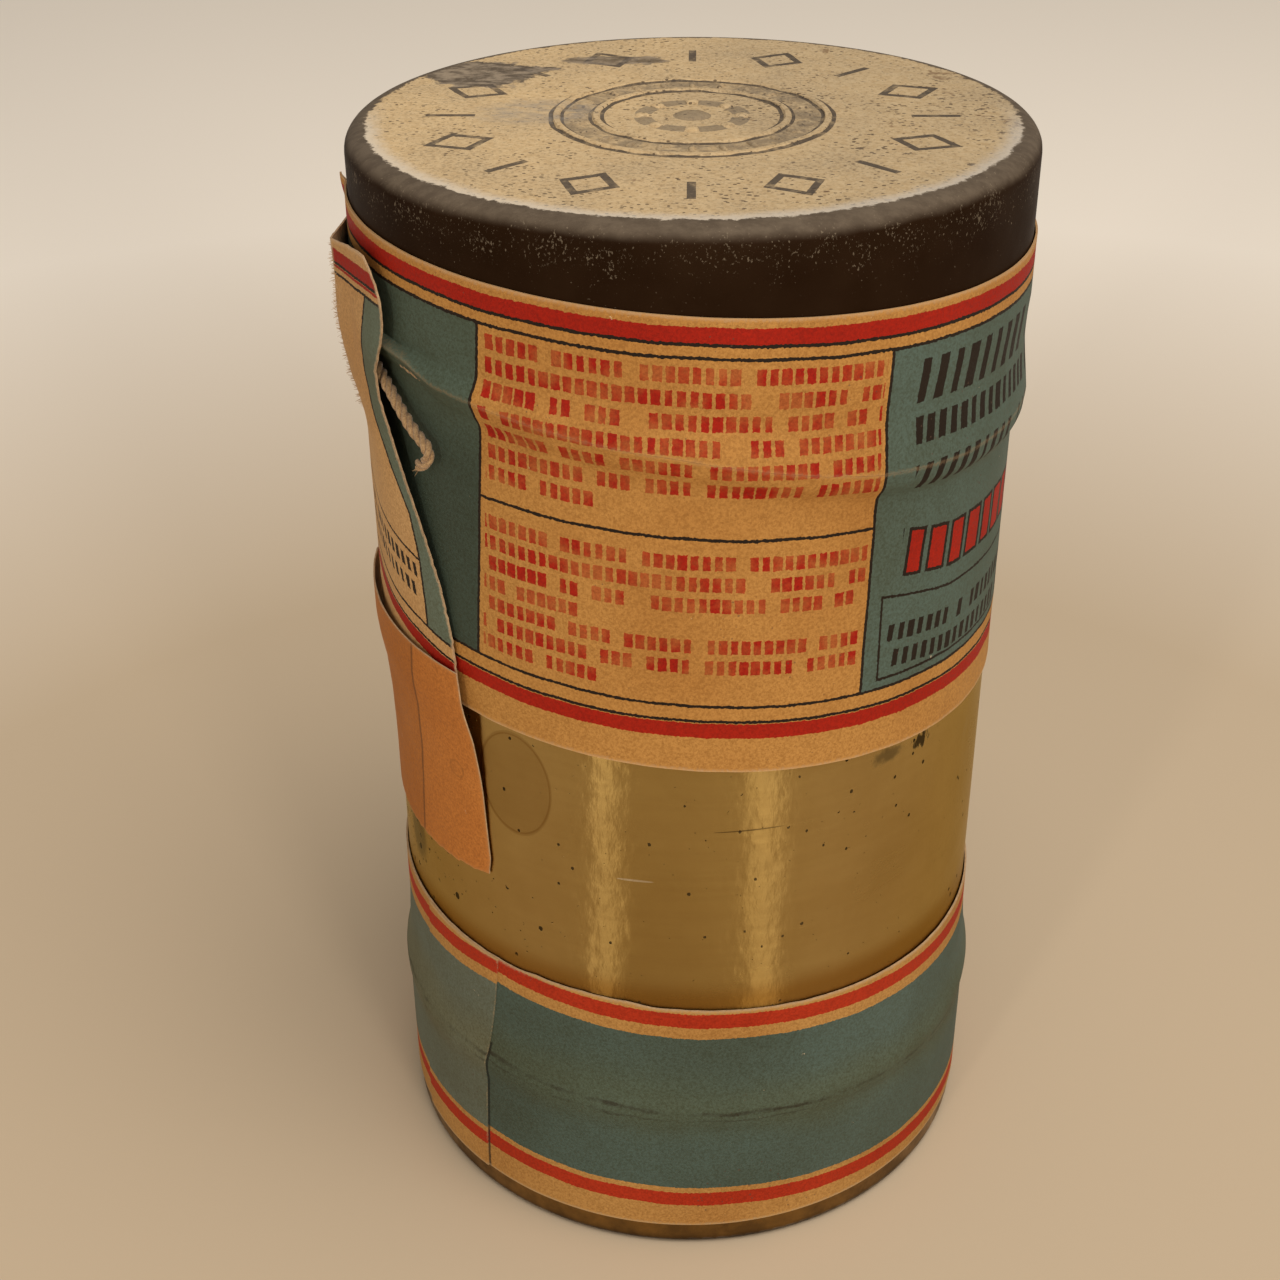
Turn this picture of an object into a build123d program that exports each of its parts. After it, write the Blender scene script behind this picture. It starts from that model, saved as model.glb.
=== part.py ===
from build123d import *
import os
from math import cos, pi, radians, sin, sqrt, tan

os.makedirs("parts", exist_ok=True)

# Sizes are in millimetres. The tin stands on Z = 0 with its axis on Z.
# An azimuth is in degrees round the tin: 0 faces -Y, the printed front, and 90 faces +X.

# Lacquered tube
body_radius = 41.0
body_wall = 0.4
hem_wall = 0.9
hem_depth = 4.0
hem_round = 0.2
seam_azimuth = 180.0
seam_width = 5.0
seam_wall = 0.8

# Slip-on base and lid
tin_height = 148.0
cap_wall = 0.4
cap_gap = 0.5
lid_depth = 19.5
lid_shoulder = 2.5
base_depth = 24.8
base_edge = 1.2
curl_radius = 0.5
floor_bead_inset = 9.9
floor_bead_width = 4.0
floor_bead_slope = 1.0
floor_bead_height = 0.8

# Raised ornament on the lid
outer_ring_radius = 16.4
inner_ring_radius = 11.6
ring_width = 0.8
ring_height = 0.3
dash_count = 24
dash_length = 2.4
dash_width = 0.8
dot_count = 8
dot_circle_radius = 6.0
dot_radius = 0.9

# Rubber rings and card discs
gasket_side_gap = 0.1
gasket_width = 3.4
lid_gasket_thickness = 2.2
base_gasket_thickness = 1.0
card_thickness = 0.5
card_gap = 0.2

# Paper wrapper round the lid's joint
paper = 0.25
paper_gap = 0.1
wrap_start = -90.0
wrap_end = 245.0
wrap_above_joint = 10.0
wrap_top_tilt = 2.5
wrap_below_joint = 47.9
wrap_foot_tilt = 3.2
tear_gap = 0.3

# Tear string under the wrapper: its depth below the lid's edge against X
string_diameter = 1.4
string_depths = [
    (-50, 1.2),
    (-40, 1.3),
    (-33, 1.9),
    (-28, 3.0),
    (-20, 4.3),
    (-10, 5.9),
    (-2, 6.9),
    (6, 8.4),
    (14, 10.1),
    (22, 11.7),
    (32, 12.9),
    (41, 13.3),
    (50, 13.5),
]
string_start = -52.0
string_last = 258.0
string_steps = 40
ridge_start = -56.0
ridge_gap = 0.3
ridge_height = 3.0

# Loose outer end of the wrapper: how far it stands off the tube at its top, by azimuth, and at its foot
flap_gap = 0.7
flap_rise = 2.0
flap_height = 55.0
flap_margin = 2.0
flap_azimuths = [-100.0, -88.0, -75.0, -62.0, -50.0, -36.0]
flap_top_lifts = [3.0, 4.0, 4.0, 3.9, 3.6, 3.2]
flap_root_lift = 1.6
flap_foot_lift = 0.7
# Its torn edge, seen from an azimuth: places across that view and heights above its foot
flap_view = -60.0
flap_edge = [
    (3.8, 55.0),
    (4.6, 51.4),
    (4.4, 45.3),
    (2.5, 41.5),
    (5.6, 35.7),
    (9.4, 26.7),
    (12.7, 17.2),
    (14.6, 1.4),
]

# Free end of the tear string: azimuth, how far its middle stands off the tube, depth below the lid's edge
end_route = [
    (-91.0, 1.3, 1.9),
    (-82.0, 1.4, 2.0),
    (-73.0, 1.5, 2.5),
    (-64.5, 1.6, 3.4),
    (-57.5, 1.7, 4.8),
    (-52.0, 1.8, 7.5),
    (-48.3, 1.85, 9.4),
    (-44.4, 1.9, 10.6),
    (-44.5, 2.3, 12.6),
    (-46.6, 2.3, 13.1),
]
end_fold_radii = [1.4, 1.4]

# Paper slip pasted over the wrapper's foot
slip_paper = 0.2
slip_start = -100.0
slip_end = -34.0
slip_view = -62.0
slip_lift = 1.45
slip_step_drop = 0.2
slip_step_height = 1.8
# Its outline, seen from its azimuth: places across that view and heights from the wrapper's foot
slip_outline = [
    (-20.0, 7.9),
    (12.6, 7.0),
    (15.0, -8.6),
    (17.0, -21.4),
    (9.0, -23.2),
    (1.9, -24.2),
    (-9.4, -25.0),
    (-20.0, -24.6),
]

# Paper band round the base
band_foot = 3.0
band_top = 43.6
band_top_tilt = 1.0
band_slope = 2.0
band_seam = -40.0
band_lap = 22.0

# What the tin holds
liner_gap = 0.2
liner_paper = 0.2
liner_step = 6.4
pad_gap = 0.4
pad_thickness = 14.0
pad_round = 3.0
roll_clearance = 0.7
roll_length = 80.0
roll_core = 1.6
roll_gap = 0.45
roll_count = 4
roll_round = 0.8
roll_band_paper = 0.15
roll_band_width = 26.0
compress_clearance = 2.63
compress_thickness = 2.8
compress_corner = 2.0
compress_turns = [0.0, 2.5, -2.0, 1.5, -1.0]
ampoule_radius = 4.5
ampoule_length = 46.0
ampoule_wall = 0.6
ampoule_neck_radius = 1.6
ampoule_neck_length = 9.0
ampoule_seat = 0.05
ampoule_offset = 12.0
powder_gap = 0.1
powder_length = 24.0
leaflet_length = 46.0
leaflet_width = 20.0
leaflet_thickness = 1.4
leaflet_offset = -13.0

# Radii and heights that follow from those sizes
cap_inner = body_radius + cap_gap
cap_outer = cap_inner + cap_wall
lid_edge = tin_height - lid_depth
floor_bead_radius = cap_outer - floor_bead_inset
gasket_outer = cap_inner - gasket_side_gap
gasket_inner = gasket_outer - gasket_width
lid_ceiling = tin_height - cap_wall
body_top = lid_ceiling - lid_gasket_thickness
body_foot = cap_wall + base_gasket_thickness
body_bore = body_radius - body_wall
floor_top = cap_wall + floor_bead_height
wrap_top = lid_edge + wrap_above_joint
wrap_foot = lid_edge - wrap_below_joint
wrap_upper = cap_outer + paper_gap
wrap_lower = body_radius + paper_gap
ridge_inner = body_radius + string_diameter + ridge_gap
flap_foot = wrap_foot + flap_rise
flap_top = flap_foot + flap_height
slip_step = wrap_foot - slip_step_drop
liner_top = body_top - liner_step
liner_outer = body_bore - seam_wall - liner_gap
liner_inner = liner_outer - liner_paper
pad_foot = floor_top + card_thickness
roll_spread = 1 / sin(pi / roll_count)
roll_radius = (liner_inner - roll_clearance - roll_gap / 2 * roll_spread) / (1 + roll_spread)
roll_pitch_radius = (roll_radius + roll_gap / 2) * roll_spread
compress_side = (liner_inner - compress_clearance) * sqrt(2)
roll_foot = pad_foot + pad_thickness
compress_foot = roll_foot + roll_length
compress_top = compress_foot + compress_thickness * len(compress_turns)
reach = 60.0
full_turn = 360.0


def direction(azimuth):
    """Outward direction in plan at an azimuth."""
    turn = radians(azimuth - 90)
    return cos(turn), sin(turn)


def point_at(azimuth, radius, height):
    """Point on a cylinder round Z."""
    x, y = direction(azimuth)
    return (radius * x, radius * y, height)


def section_plane(azimuth):
    """Half section through the axis: local X points outwards and local Y up."""
    x, y = direction(azimuth)
    return Plane(origin=(0, 0, 0), x_dir=(x, y, 0), z_dir=(y, -x, 0))


def side_plane(azimuth):
    """Plane through the axis that is seen square on from an azimuth."""
    x, y = direction(azimuth)
    return Plane(origin=(0, 0, 0), x_dir=(-y, x, 0), z_dir=(x, y, 0))


def turned(points, start=0.0, arc=full_turn):
    """Turns a closed outline of (radius, height) points about Z."""
    with BuildSketch(section_plane(start)) as outline:
        with BuildLine():
            Polyline(*points, close=True)
        make_face()
    revolve(outline.sketch, axis=Axis.Z, revolution_arc=arc)


def sleeve(inner, outer, foot, top, start=0.0, arc=full_turn):
    """Plain tube, or part of one, between two radii and two heights."""
    turned([(inner, foot), (outer, foot), (outer, top), (inner, top)], start, arc)


def keep_between(lower, upper):
    """Keeps what lies between two lines that are drawn in the front view."""
    with BuildSketch(Plane.XZ) as region:
        with BuildLine():
            below = Spline(*lower) if len(lower) > 2 else Line(*lower)
            above = Spline(*upper) if len(upper) > 2 else Line(*upper)
            Line(below @ 1, above @ 1)
            Line(above @ 0, below @ 0)
        make_face()
    extrude(region.sketch, amount=reach, both=True, mode=Mode.INTERSECT)


def tilted(height, tilt):
    """Line across the front view that falls to the right by tilt at the tube's side."""
    fall = tilt * reach / body_radius
    return [(-reach, height + fall), (reach, height - fall)]


def along_string(offset):
    """The tear string's line in the front view, raised by an offset, out to the full reach."""
    first, last = string_depths[0][1], string_depths[-1][1]
    stations = [(-reach, first), *string_depths, (reach, last)]
    return [(x, lid_edge - depth + offset) for x, depth in stations]


with BuildPart() as tin_body:
    hem = body_radius - hem_wall
    turned([
        (body_radius, body_foot),
        (body_radius, body_top),
        (hem, body_top),
        (hem, body_top - hem_depth),
        (body_bore, body_top - hem_depth),
        (body_bore, body_foot + hem_depth),
        (hem, body_foot + hem_depth),
        (hem, body_foot),
    ])
    rims = tin_body.faces().filter_by(Plane.XY).sort_by(Axis.Z)
    fillet(rims[0].edges() + rims[-1].edges(), hem_round)
    seam_arc = seam_width / body_bore * 180 / pi
    seam_foot, seam_top = body_foot + hem_depth / 2, body_top - hem_depth / 2
    seam_start = seam_azimuth - seam_arc / 2
    sleeve(body_bore - seam_wall, body_bore + body_wall / 2, seam_foot, seam_top, seam_start, seam_arc)
tin_body.part.label = "tin_body"
export_step(tin_body.part, "parts/tin_body.step")

with BuildPart() as bottom_cap:
    bead_in = floor_bead_radius - floor_bead_width / 2
    bead_out = floor_bead_radius + floor_bead_width / 2
    inner_edge = base_edge - cap_wall
    with BuildSketch(Plane.XZ):
        with BuildLine():
            Polyline(
                (0, 0),
                (bead_in, 0),
                (bead_in + floor_bead_slope, floor_bead_height),
                (bead_out - floor_bead_slope, floor_bead_height),
                (bead_out, 0),
                (cap_outer - base_edge, 0),
            )
            CenterArc((cap_outer - base_edge, base_edge), base_edge, -90, 90)
            Line((cap_outer, base_edge), (cap_outer, base_depth - 2 * curl_radius))
            CenterArc((cap_outer, base_depth - curl_radius), curl_radius, -90, 180)
            Polyline((cap_outer, base_depth), (cap_inner, base_depth), (cap_inner, base_edge))
            CenterArc((cap_inner - inner_edge, base_edge), inner_edge, 0, -90)
            Polyline(
                (cap_inner - inner_edge, cap_wall),
                (bead_out + cap_wall / 2, cap_wall),
                (bead_out + cap_wall / 2 - floor_bead_slope, floor_top),
                (bead_in - cap_wall / 2 + floor_bead_slope, floor_top),
                (bead_in - cap_wall / 2, cap_wall),
                (0, cap_wall),
                (0, 0),
            )
        make_face()
    revolve(axis=Axis.Z)
bottom_cap.part.label = "bottom_cap"
export_step(bottom_cap.part, "parts/bottom_cap.step")

with BuildPart() as lid_shell:
    inner_shoulder = lid_shoulder - cap_wall
    shoulder_height = tin_height - lid_shoulder
    with BuildSketch(Plane.XZ):
        with BuildLine():
            Polyline((cap_inner, lid_edge), (cap_outer, lid_edge), (cap_outer, shoulder_height))
            CenterArc((cap_outer - lid_shoulder, shoulder_height), lid_shoulder, 0, 90)
            Polyline((cap_outer - lid_shoulder, tin_height), (0, tin_height), (0, lid_ceiling))
            Line((0, lid_ceiling), (cap_inner - inner_shoulder, lid_ceiling))
            CenterArc((cap_inner - inner_shoulder, shoulder_height), inner_shoulder, 90, -90)
            Line((cap_inner, shoulder_height), (cap_inner, lid_edge))
        make_face()
    revolve(axis=Axis.Z)
    with BuildSketch(Plane.XY.offset(tin_height)):
        for ring_radius in (outer_ring_radius, inner_ring_radius):
            Circle(ring_radius + ring_width / 2)
            Circle(ring_radius - ring_width / 2, mode=Mode.SUBTRACT)
        with PolarLocations((outer_ring_radius + inner_ring_radius) / 2, dash_count):
            SlotOverall(dash_length, dash_width)
        with PolarLocations(dot_circle_radius, dot_count):
            Circle(dot_radius)
        Circle(2 * dot_radius)
    extrude(amount=ring_height)
lid_shell.part.label = "lid_shell"
export_step(lid_shell.part, "parts/lid_shell.step")

with BuildPart() as lid_gasket:
    corner = lid_shoulder - cap_wall
    corner_height = lid_ceiling - corner
    with BuildSketch(Plane.XZ):
        with BuildLine():
            Polyline((gasket_outer, corner_height), (gasket_outer, body_top), (gasket_inner, body_top))
            Polyline(
                (gasket_inner, body_top),
                (gasket_inner, lid_ceiling),
                (gasket_outer - corner, lid_ceiling),
            )
            CenterArc((gasket_outer - corner, corner_height), corner, 90, -90)
        make_face()
    revolve(axis=Axis.Z)
lid_gasket.part.label = "lid_gasket"
export_step(lid_gasket.part, "parts/lid_gasket.step")

with BuildPart() as lid_lining:
    with BuildSketch(Plane.XY.offset(lid_ceiling)):
        Circle(gasket_inner - card_gap)
    extrude(amount=-card_thickness)
lid_lining.part.label = "lid_lining"
export_step(lid_lining.part, "parts/lid_lining.step")

with BuildPart() as base_gasket:
    corner = base_edge - cap_wall
    with BuildSketch(Plane.XZ):
        with BuildLine():
            Polyline((gasket_outer - corner, cap_wall), (gasket_inner, cap_wall), (gasket_inner, body_foot))
            Polyline((gasket_inner, body_foot), (gasket_outer, body_foot), (gasket_outer, cap_wall + corner))
            CenterArc((gasket_outer - corner, cap_wall + corner), corner, 0, -90)
        make_face()
    revolve(axis=Axis.Z)
base_gasket.part.label = "base_gasket"
export_step(base_gasket.part, "parts/base_gasket.step")

with BuildPart() as base_lining:
    with BuildSketch(Plane.XY.offset(floor_top)):
        Circle(gasket_inner - card_gap)
    extrude(amount=card_thickness)
base_lining.part.label = "base_lining"
export_step(base_lining.part, "parts/base_lining.step")

# The wrapper's upper part, from the tear line up, goes up with the lid.
wrap_arc = wrap_end - wrap_start
tear_offset = string_diameter / 2 + paper_gap
with BuildPart() as wrapper_lid_part:
    sleeve(wrap_upper, wrap_upper + paper, wrap_foot, tin_height, wrap_start, wrap_arc)
    keep_between(along_string(tear_offset + tear_gap), tilted(wrap_top, wrap_top_tilt))
wrapper_lid_part.part.label = "wrapper_lid_part"
export_step(wrapper_lid_part.part, "parts/wrapper_lid_part.step")

# The lower part has a raised channel over the string, and is flat on the tube below it.
with BuildPart() as wrapper_channel:
    sleeve(ridge_inner, ridge_inner + paper, wrap_foot, tin_height, ridge_start, wrap_end - ridge_start)
    keep_between(along_string(tear_offset - ridge_height), along_string(tear_offset))

with BuildPart() as wrapper_step:
    sleeve(wrap_lower, ridge_inner + paper, wrap_foot, tin_height, ridge_start, wrap_end - ridge_start)
    keep_between(along_string(tear_offset - ridge_height), along_string(tear_offset - ridge_height + paper))

with BuildPart() as wrapper_start:
    sleeve(wrap_lower, wrap_lower + paper, wrap_foot, tin_height, wrap_start, ridge_start - wrap_start)
    keep_between(along_string(-ridge_height), along_string(tear_offset))

with BuildPart() as wrapper_body_part:
    sleeve(wrap_lower, wrap_lower + paper, wrap_foot - 2 * wrap_foot_tilt, tin_height, wrap_start, wrap_arc)
    keep_between(tilted(wrap_foot, wrap_foot_tilt), along_string(tear_offset - ridge_height + paper / 2))
    add([wrapper_step.part, wrapper_channel.part, wrapper_start.part])
wrapper_body_part.part.label = "wrapper_body_part"
export_step(wrapper_body_part.part, "parts/wrapper_body_part.step")


def flap_plan(lifts):
    """Plan of the loose paper at one height: two curves a paper's thickness apart."""
    azimuths = [wrap_end - full_turn + flap_gap] + flap_azimuths
    stations = [(azimuth, body_radius + lift) for azimuth, lift in zip(azimuths, lifts)]
    with BuildLine() as curves:
        near = Spline(*[point_at(azimuth, radius, 0)[:2] for azimuth, radius in stations])
        far = Spline(*[point_at(azimuth, radius + paper, 0)[:2] for azimuth, radius in stations])
        Line(near @ 0, far @ 0)
        Line(near @ 1, far @ 1)
    make_face(curves.edges())


with BuildPart() as wrapper_flap:
    with BuildSketch(Plane.XY.offset(flap_foot - flap_margin)):
        flap_plan([flap_foot_lift] * (len(flap_azimuths) + 1))
    with BuildSketch(Plane.XY.offset(flap_top + flap_margin)):
        flap_plan([flap_root_lift] + flap_top_lifts)
    loft(ruled=True)
    with BuildSketch(side_plane(flap_view)):
        with BuildLine():
            torn = [(across, flap_foot + height) for across, height in flap_edge]
            Polyline((-reach, flap_foot), (-reach, flap_top), *torn, (torn[-1][0], flap_foot), close=True)
        make_face()
    extrude(amount=reach, mode=Mode.INTERSECT)
wrapper_flap.part.label = "wrapper_flap"
export_step(wrapper_flap.part, "parts/wrapper_flap.step")


def string_height(x):
    """Height of the string's middle at a place across the front view, between its given heights."""
    for (x0, depth0), (x1, depth1) in zip(string_depths, string_depths[1:]):
        if x <= x1:
            return lid_edge - depth0 - (depth1 - depth0) * (x - x0) / (x1 - x0)
    return lid_edge - string_depths[-1][1]


def bend_radii(points):
    """Largest arc at each corner of a route: 0.45 of its shorter run over the tangent of half the turn."""
    radii = []
    for before, corner, after in zip(points, points[1:], points[2:]):
        run_in, run_out = Vector(*corner) - Vector(*before), Vector(*after) - Vector(*corner)
        half_turn = radians(run_in.get_angle(run_out)) / 2
        radii.append(0.45 * min(run_in.length, run_out.length) / tan(half_turn))
    return radii


def tube(points, radii, diameter):
    """Round tube along straight runs joined by tangent arcs."""
    with BuildLine():
        path = FilletPolyline(*points, radius=radii)
    with BuildSketch(Plane(origin=path @ 0, z_dir=path % 0)) as section:
        Circle(diameter / 2)
    sweep(section.sketch, path=path)
    return path


# Its corners stand out a little, so that the middle of each run keeps clear of the tube.
string_turn = (string_last - string_start) / string_steps
string_radius = (body_radius + string_diameter / 2 + paper_gap / 2) / cos(radians(string_turn / 2))
loop_corners = []
for step in range(string_steps + 1):
    x, y, _ = point_at(string_start + string_turn * step, string_radius, 0)
    loop_corners.append((x, y, string_height(x)))
end_corners = [point_at(azimuth, body_radius + lift, lid_edge - depth) for azimuth, lift, depth in end_route]
string_exit = tuple((Vector(*loop_corners[-1]) + Vector(*end_corners[0])) / 2)
string_points = loop_corners + [string_exit]

with BuildPart() as tear_string:
    string_path = tube(string_points, bend_radii(string_points), string_diameter)
tear_string.part.label = "tear_string"
export_step(tear_string.part, "parts/tear_string.step")

end_points = [string_exit] + end_corners
end_radii = bend_radii(end_points)
end_radii[-len(end_fold_radii):] = end_fold_radii
with BuildPart() as string_end:
    end_path = tube(end_points, end_radii, string_diameter)
string_end.part.label = "string_end"
export_step(string_end.part, "parts/string_end.step")
for name, path, piece in (("tear_string", string_path, tear_string), ("string_end", end_path, string_end)):
    filled = piece.part.volume / (pi * string_diameter**2 / 4 * path.length)
    print(name, "length", round(path.length, 2), "volume over section times length", round(filled, 4))
print("string_exit", [round(value, 3) for value in string_exit])
print("string_end bend radii", [round(radius, 2) for radius in end_radii])

with BuildPart() as control_slip:
    slip_low = wrap_lower
    slip_high = slip_low + slip_lift
    slip_top, slip_bottom = tin_height, 0.0
    turned(
        [
            (slip_low, slip_bottom),
            (slip_low, slip_step),
            (slip_high, slip_step + slip_step_height),
            (slip_high, slip_top),
            (slip_high + slip_paper, slip_top),
            (slip_high + slip_paper, slip_step + slip_step_height),
            (slip_low + slip_paper, slip_step),
            (slip_low + slip_paper, slip_bottom),
        ],
        slip_start,
        slip_end - slip_start,
    )
    with BuildSketch(side_plane(slip_view)):
        with BuildLine():
            Polyline(*[(across, wrap_foot + height) for across, height in slip_outline], close=True)
        make_face()
    extrude(amount=reach, mode=Mode.INTERSECT)
control_slip.part.label = "control_slip"
export_step(control_slip.part, "parts/control_slip.step")


def band_outline(inset):
    """Outline of the base band's inner face, moved outwards by an inset."""
    low = cap_outer + paper_gap + inset
    over_curl = low + curl_radius
    high = wrap_lower + inset
    curl_foot = base_depth - 2 * curl_radius
    return [
        (low, band_foot),
        (low, curl_foot - curl_radius),
        (over_curl, curl_foot),
        (over_curl, base_depth + curl_radius),
        (high, base_depth + curl_radius + band_slope),
        (high, band_top + 2 * band_top_tilt),
    ]


with BuildPart() as foot_band:
    turned(band_outline(0) + band_outline(paper)[::-1])
    turned(band_outline(paper / 2) + band_outline(2 * paper)[::-1], band_seam - band_lap, band_lap)
    keep_between([(-reach, 0), (reach, 0)], tilted(band_top, band_top_tilt))
foot_band.part.label = "foot_band"
export_step(foot_band.part, "parts/foot_band.step")

with BuildPart() as liner_sleeve:
    sleeve(liner_inner, liner_outer, body_foot, liner_top)
liner_sleeve.part.label = "liner_sleeve"
export_step(liner_sleeve.part, "parts/liner_sleeve.step")

with BuildPart() as cotton_pad:
    with BuildSketch(Plane.XY.offset(pad_foot)):
        Circle(liner_inner - pad_gap)
    extrude(amount=pad_thickness)
    fillet(cotton_pad.edges().filter_by(GeomType.CIRCLE), pad_round)
cotton_pad.part.label = "cotton_pad"
export_step(cotton_pad.part, "parts/cotton_pad.step")

band_middle = roll_foot + roll_length / 2
roll_spots = PolarLocations(roll_pitch_radius, roll_count, start_angle=full_turn / 2 / roll_count)
for index, spot in enumerate(roll_spots, start=1):
    with BuildPart() as gauze_roll:
        with BuildSketch(Plane.XY.offset(roll_foot)):
            with Locations(spot.position):
                Circle(roll_radius)
                Circle(roll_core, mode=Mode.SUBTRACT)
        extrude(amount=roll_length)
        outer_rims = gauze_roll.edges().filter_by(GeomType.CIRCLE).sort_by(SortBy.RADIUS)[-2:]
        fillet(outer_rims, roll_round)
    gauze_roll.part.label = f"gauze_roll_{index}"
    export_step(gauze_roll.part, f"parts/gauze_roll_{index}.step")

    with BuildPart() as roll_band:
        with BuildSketch(Plane.XY.offset(band_middle - roll_band_width / 2)):
            with Locations(spot.position):
                Circle(roll_radius + roll_band_paper)
                Circle(roll_radius, mode=Mode.SUBTRACT)
        extrude(amount=roll_band_width)
    roll_band.part.label = f"roll_band_{index}"
    export_step(roll_band.part, f"parts/roll_band_{index}.step")

for index, turn in enumerate(compress_turns, start=1):
    with BuildPart() as compress:
        with BuildSketch(Plane.XY.offset(compress_foot + (index - 1) * compress_thickness)):
            RectangleRounded(compress_side, compress_side, compress_corner, rotation=turn)
        extrude(amount=compress_thickness)
    compress.part.label = f"compress_{index}"
    export_step(compress.part, f"parts/compress_{index}.step")

# The sealed test ampoule lies along X on the top compress.
ampoule_height = compress_top + ampoule_radius + ampoule_seat
ampoule_plane = Plane(origin=(0, ampoule_offset, ampoule_height), x_dir=(1, 0, 0), z_dir=(0, -1, 0))
ampoule_axis = Axis((0, ampoule_offset, ampoule_height), (1, 0, 0))
ampoule_tail = -ampoule_length / 2 + ampoule_radius
ampoule_shoulder = ampoule_length / 2 - ampoule_neck_length


def ampoule_outline(inset):
    """Half section of the ampoule, drawn in from its outside by an inset."""
    radius, neck = ampoule_radius - inset, ampoule_neck_radius - inset
    tip = ampoule_length / 2 - ampoule_neck_radius
    with BuildLine() as half:
        CenterArc((ampoule_tail, 0), radius, 90, 90)
        Line((ampoule_tail, radius), (ampoule_shoulder, radius))
        Spline((ampoule_shoulder, radius), (tip, neck), tangents=[(1, 0), (1, 0)])
        CenterArc((tip, 0), neck, 0, 90)
        Line((tip + neck, 0), (ampoule_tail - radius, 0))
    make_face(half.edges())


with BuildPart() as ampoule_glass:
    with BuildSketch(ampoule_plane):
        ampoule_outline(0)
    revolve(axis=ampoule_axis)
    with BuildSketch(ampoule_plane):
        ampoule_outline(ampoule_wall)
    revolve(axis=ampoule_axis, mode=Mode.SUBTRACT)
ampoule_glass.part.label = "ampoule_glass"
export_step(ampoule_glass.part, "parts/ampoule_glass.step")

with BuildPart() as ampoule_powder:
    powder_radius = ampoule_radius - ampoule_wall - powder_gap
    with BuildSketch(ampoule_plane):
        with BuildLine():
            CenterArc((ampoule_tail, 0), powder_radius, 90, 90)
            Polyline(
                (ampoule_tail, powder_radius),
                (ampoule_tail + powder_length, powder_radius),
                (ampoule_tail + powder_length, 0),
                (ampoule_tail - powder_radius, 0),
            )
        make_face()
    revolve(axis=ampoule_axis)
ampoule_powder.part.label = "ampoule_powder"
export_step(ampoule_powder.part, "parts/ampoule_powder.step")

with BuildPart() as leaflet:
    with BuildSketch(Plane.XY.offset(compress_top)):
        with Locations((0, leaflet_offset)):
            Rectangle(leaflet_length, leaflet_width)
    extrude(amount=leaflet_thickness)
leaflet.part.label = "leaflet"
export_step(leaflet.part, "parts/leaflet.step")
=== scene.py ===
from math import asin, cos, degrees, exp, hypot, log, pi, radians, sin, sqrt

import bpy
from mathutils import Matrix, Vector, noise


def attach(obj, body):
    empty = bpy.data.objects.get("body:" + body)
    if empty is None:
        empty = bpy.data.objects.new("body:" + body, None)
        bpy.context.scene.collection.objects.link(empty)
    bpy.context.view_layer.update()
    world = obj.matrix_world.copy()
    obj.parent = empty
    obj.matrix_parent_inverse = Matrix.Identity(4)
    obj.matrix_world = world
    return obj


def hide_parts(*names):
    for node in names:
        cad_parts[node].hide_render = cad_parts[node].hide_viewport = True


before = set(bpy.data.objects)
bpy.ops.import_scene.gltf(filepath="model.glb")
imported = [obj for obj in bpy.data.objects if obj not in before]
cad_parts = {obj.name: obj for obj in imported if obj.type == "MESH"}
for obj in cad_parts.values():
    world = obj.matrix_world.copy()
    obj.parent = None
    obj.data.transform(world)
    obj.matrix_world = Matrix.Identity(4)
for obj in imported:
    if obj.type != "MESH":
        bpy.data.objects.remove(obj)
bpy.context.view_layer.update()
mm = 0.001

# Sizes are in millimetres and degrees. Azimuth 0 faces -Y and 90 faces +X.
tinSizes = {
    "bodyRadius": 41.0,
    "lidRadius": 41.9,
    "lidEdge": 128.5,
    "height": 148.0,
    "wrapTop": 138.5,
    "wrapTopTilt": 2.5,
    "wrapFoot": 80.6,
    "wrapFootTilt": 3.2,
    "paper": 0.25,
    # depth of the string's middle below the lid's edge, by place across the front view
    "stringDepths": [(-50, 1.2), (-40, 1.3), (-33, 1.9), (-28, 3.0), (-20, 4.3), (-10, 5.9), (-2, 6.9), (6, 8.4),
                     (14, 10.1), (22, 11.7), (32, 12.9), (41, 13.3), (50, 13.5)],
}


def between(table, at):  # value read off a table of (place, value), straight between its rows
    if at <= table[0][0]:
        return table[0][1]
    for (x0, y0), (x1, y1) in zip(table, table[1:]):
        if at <= x1:
            return y0 + (y1 - y0) * (at - x0) / (x1 - x0)
    return table[-1][1]


def smooth(low, high, at):
    part = min(1.0, max(0.0, (at - low) / (high - low)))
    return part * part * (3 - 2 * part)


def ripple(*place):  # soft random value from -1 to 1, the same at every run
    return noise.noise(Vector(place))


def aroundTin(azimuth, radius, height):
    turn = radians(azimuth)
    return Vector((radius * sin(turn), -radius * cos(turn), height)) * mm


def stringHeight(azimuth, radius=42.8):
    return tinSizes["lidEdge"] - between(tinSizes["stringDepths"], radius * sin(radians(azimuth)))


def activate(piece):
    bpy.ops.object.select_all(action="DESELECT")
    piece.select_set(True)
    bpy.context.view_layer.objects.active = piece


def useModifier(piece, kind, **settings):
    activate(piece)
    modifier = piece.modifiers.new(kind.title(), kind)
    for name, value in settings.items():
        setattr(modifier, name, value)
    bpy.ops.object.modifier_apply(modifier=modifier.name)


def smoothEdges(piece, angle=35):
    activate(piece)
    bpy.ops.object.shade_smooth_by_angle(angle=radians(angle))


def setMaterials(piece, *materials):
    piece.data.materials.clear()
    for material in materials:
        piece.data.materials.append(material)


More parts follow.
